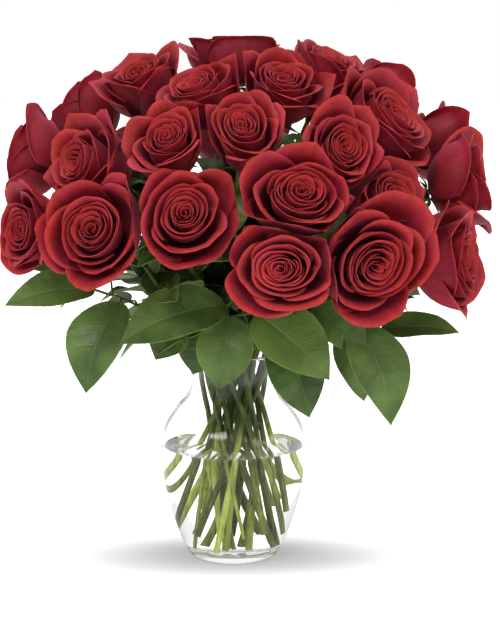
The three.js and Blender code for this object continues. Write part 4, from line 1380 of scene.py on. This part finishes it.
def make_stage(settings):
    """A pale floor, a white surround, soft lamps and the camera."""
    scene = bpy.context.scene
    mesh = bpy.data.meshes.new("floor")
    corners = [(x * FLOOR_REACH, y * FLOOR_REACH, 0) for x, y in ((-1, -1), (1, -1), (1, 1), (-1, 1))]
    mesh.from_pydata(corners, [], [(0, 1, 2, 3)])
    mesh.materials.append(floor_material())
    floor = new_object("floor", mesh)
    scene.world = make_surround(settings.fill)
    for name, at, size, share in LAMPS:
        add_lamp(name, at, size, settings.key_power * share)
    lens = bpy.data.cameras.new("camera")
    lens.lens, lens.clip_end = LENS, 60
    scene.camera = new_object("camera", lens)
    scene.camera.location = CAMERA_AT
    scene.camera.rotation_euler = (math.radians(90 - CAMERA_DOWN), 0, 0)
    scene.view_settings.view_transform = "Standard"
    scene.cycles.max_bounces = MOST_BOUNCES
    scene.cycles.glossy_bounces = MIRROR_BOUNCES
    scene.cycles.transmission_bounces = GLASS_BOUNCES


# ---- Settings ----
def whole(name, description, default, low, high=999):
    """A whole number that a user can set."""
    return bpy.props.IntProperty(name=name, description=description, default=default, min=low, max=high)


def amount(name, description, default, **limits):
    """A number that a user can set."""
    return bpy.props.FloatProperty(name=name, description=description, default=default, **limits)


def paint(name, description, *default):
    """A colour that a user can set."""
    return bpy.props.FloatVectorProperty(
        name=name, description=description, subtype="COLOR", default=default,
    )


class BloomSettings(bpy.types.PropertyGroup):
    """What a user would change on the blooms."""

    petals: whole("Petals", "Petals in each bloom", 30, 16, 60)
    rows: whole("Rows", "Rows of faces from root to rim", 17, 6, 40)
    columns: whole("Columns", "Columns of faces across", 19, 5, 40)
    petal_thickness: amount("Petal thickness", "Thickness of a petal at its middle", 0.0005, unit="LENGTH")
    inner_colour: paint("Inner face", "Colour of the face that looks to the heart", 0.235, 0.0105, 0.0085)
    outer_colour: paint("Outer face", "Colour of the back of a petal", 0.20, 0.0095, 0.0155)
    # Painted shade, mixed in deep between the petals where little light gets.
    deep_shade_colour: paint("Root", "Colour deep in the bloom", 0.055, 0.003, 0.004)
    pink_colour: paint("Pink", "Cooler colour that comes and goes", 0.27, 0.012, 0.036)
    # Painted highlight at the top of the petals.
    rim_highlight_colour: paint("Rim", "Colour of the very edge", 0.42, 0.033, 0.025)
    velvet: amount("Velvet", "Strength of the soft sheen", 0.2, min=0, max=1)
    glow: amount("Glow", "Light that passes into a petal", 0.15, min=0, max=1)
    seed: whole("Seed", "Seed of the petals' small differences", 7, 0)


class StemSettings(bpy.types.PropertyGroup):
    """What a user would change on the stems and leaves."""

    sides: whole("Sides", "Faces round a stem", 16, 6, 48)
    thorns: whole("Thorns", "Places for a thorn along a stem", 14, 1, 60)
    leaflets: whole("Leaflets", "Places for a small leaf along a stem", 26, 2)
    leaf_rows: whole("Leaf rows", "Rows of faces along a leaf", 72, 12)
    leaf_columns: whole("Leaf columns", "Columns of faces across", 25, 5)
    leaf_thickness: amount("Leaf thickness", "Thickness of a leaf at its middle", 0.0005, unit="LENGTH")
    leaf_wave: amount("Leaf wave", "How far a leaf's edge waves", 0.0014, unit="LENGTH")
    serration: amount("Serration", "Depth of a leaf's teeth", 0.03, min=0, max=0.2)
    stem_colour: paint("Stem", "Darker green of a stem", 0.028, 0.046, 0.009)
    stem_light: paint("Stem light", "Lighter green of a stem", 0.105, 0.14, 0.025)
    # Painted light: the light green that stems are given in the water.
    lit_in_water_colour: paint("Stem in water", "Green of a stem in the water", 0.56, 0.62, 0.13)
    leaf_dark: paint("Leaf dark", "Darker green of a leaf", 0.012, 0.034, 0.007)
    leaf_light: paint("Leaf light", "Lighter green of a leaf", 0.15, 0.245, 0.044)
    leaf_back: paint("Leaf back", "Colour of the back of a leaf", 0.16, 0.23, 0.085)
    vein_colour: paint("Veins", "Colour of the veins and the edge", 0.24, 0.33, 0.07)
    seed: whole("Seed", "Seed of the small differences", 3, 0)


class VaseSettings(bpy.types.PropertyGroup):
    """What a user would change on the vase and its water."""

    vase_sides: whole("Sides", "Faces round the vase", 144, 24, 360)
    glass_ior: amount("Glass", "How strongly glass bends light", 1.5)
    water_ior: amount("Water", "How strongly water bends light", 1.333)
    glass_tint: paint("Glass tint", "Colour of the glass", 0.985, 0.99, 0.99)
    water_tint: paint("Water tint", "Colour of the water", 0.99, 1.0, 0.995)


class StageSettings(bpy.types.PropertyGroup):
    """What a user would change on the lights."""

    key_power: amount("Key", "Power of the main lamp", 38, unit="POWER")
    fill: amount("Fill", "Strength of the light from all round", 0.75)


# ---- Operators ----
def hand_in(piece, node):
    """A finished piece takes the place of its node of the frame."""
    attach(piece, "root")
    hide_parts(node)


class BUNCH_OT_blooms(bpy.types.Operator):
    """Make the 26 rose blooms"""

    bl_idname = "bunch.blooms"
    bl_label = "Make blooms"

    def execute(self, context):
        settings = context.scene.bunch_blooms
        material = petal_material(settings)
        for index in range(len(ROSES)):
            piece = make_bloom(index, settings, material)
            hand_in(piece, f"rose_bloom_{index + 1:02d}")
        return {"FINISHED"}


class BUNCH_OT_rose_stems(bpy.types.Operator):
    """Make the 26 rose stems with their thorns and leaves"""

    bl_idname = "bunch.rose_stems"
    bl_label = "Make rose stems"

    def execute(self, context):
        settings = context.scene.bunch_stems
        materials = plant_materials(settings)
        leaflet = leaflet_template(settings, materials["leaf"])
        paths = stem_paths()
        for index in range(len(ROSES)):
            piece = make_rose_stem(index, paths[index], settings, materials, leaflet)
            hand_in(piece, f"rose_stem_{index + 1:02d}")
        bpy.data.objects.remove(leaflet)
        return {"FINISHED"}


class BUNCH_OT_leaf_sprays(bpy.types.Operator):
    """Make the six sprays of leaves"""

    bl_idname = "bunch.leaf_sprays"
    bl_label = "Make leaf sprays"

    def execute(self, context):
        settings = context.scene.bunch_stems
        materials = plant_materials(settings)
        paths = stem_paths()[len(ROSES):]
        for number, name in enumerate(SPRAYS):
            piece = make_spray(number, paths[number], settings, materials)
            hand_in(piece, f"leaf_spray_{name}")
        return {"FINISHED"}


class BUNCH_OT_vase(bpy.types.Operator):
    """Make the glass vase"""

    bl_idname = "bunch.vase"
    bl_label = "Make vase"

    def execute(self, context):
        hand_in(make_vase(context.scene.bunch_vase), "vase_glass")
        return {"FINISHED"}


class BUNCH_OT_water(bpy.types.Operator):
    """Make the water in the vase"""

    bl_idname = "bunch.water"
    bl_label = "Make water"

    def execute(self, context):
        hand_in(make_water(context.scene.bunch_vase), "water")
        return {"FINISHED"}


class BUNCH_OT_stage(bpy.types.Operator):
    """Set the floor, lamps and camera"""

    bl_idname = "bunch.stage"
    bl_label = "Set the stage"

    def execute(self, context):
        make_stage(context.scene.bunch_stage)
        return {"FINISHED"}


class BUNCH_PT_panel(bpy.types.Panel):
    """The pieces of the bunch, in the order that they are made"""

    bl_label = "Roses in a glass vase"
    bl_idname = "BUNCH_PT_panel"
    bl_space_type = "VIEW_3D"
    bl_region_type = "UI"
    bl_category = "Roses"

    def draw(self, context):
        for label, settings, operators in PANEL_ROWS:
            box = self.layout.box()
            box.label(text=label)
            group = getattr(context.scene, settings)
            for key in group.__annotations__:
                box.prop(group, key)
            for operator in operators:
                box.operator(operator)


PANEL_ROWS = [
    ("Blooms", "bunch_blooms", ["bunch.blooms"]),
    ("Stems and leaves", "bunch_stems", ["bunch.rose_stems", "bunch.leaf_sprays"]),
    ("Vase and water", "bunch_vase", ["bunch.vase", "bunch.water"]),
    ("Stage", "bunch_stage", ["bunch.stage"]),
]
GROUPS = {
    "bunch_blooms": BloomSettings,
    "bunch_stems": StemSettings,
    "bunch_vase": VaseSettings,
    "bunch_stage": StageSettings,
}
CLASSES = (
    *GROUPS.values(), BUNCH_OT_blooms, BUNCH_OT_rose_stems, BUNCH_OT_leaf_sprays, BUNCH_OT_vase,
    BUNCH_OT_water, BUNCH_OT_stage, BUNCH_PT_panel,
)


def register():
    for made in CLASSES:
        bpy.utils.register_class(made)
    for name, group in GROUPS.items():
        setattr(bpy.types.Scene, name, bpy.props.PointerProperty(type=group))


def unregister():
    for name in GROUPS:
        delattr(bpy.types.Scene, name)
    for made in reversed(CLASSES):
        bpy.utils.unregister_class(made)


def main():
    register()
    bpy.ops.bunch.blooms()
    bpy.ops.bunch.rose_stems()
    bpy.ops.bunch.leaf_sprays()
    bpy.ops.bunch.vase()
    bpy.ops.bunch.water()
    bpy.ops.bunch.stage()


if __name__ == "__main__":
    main()
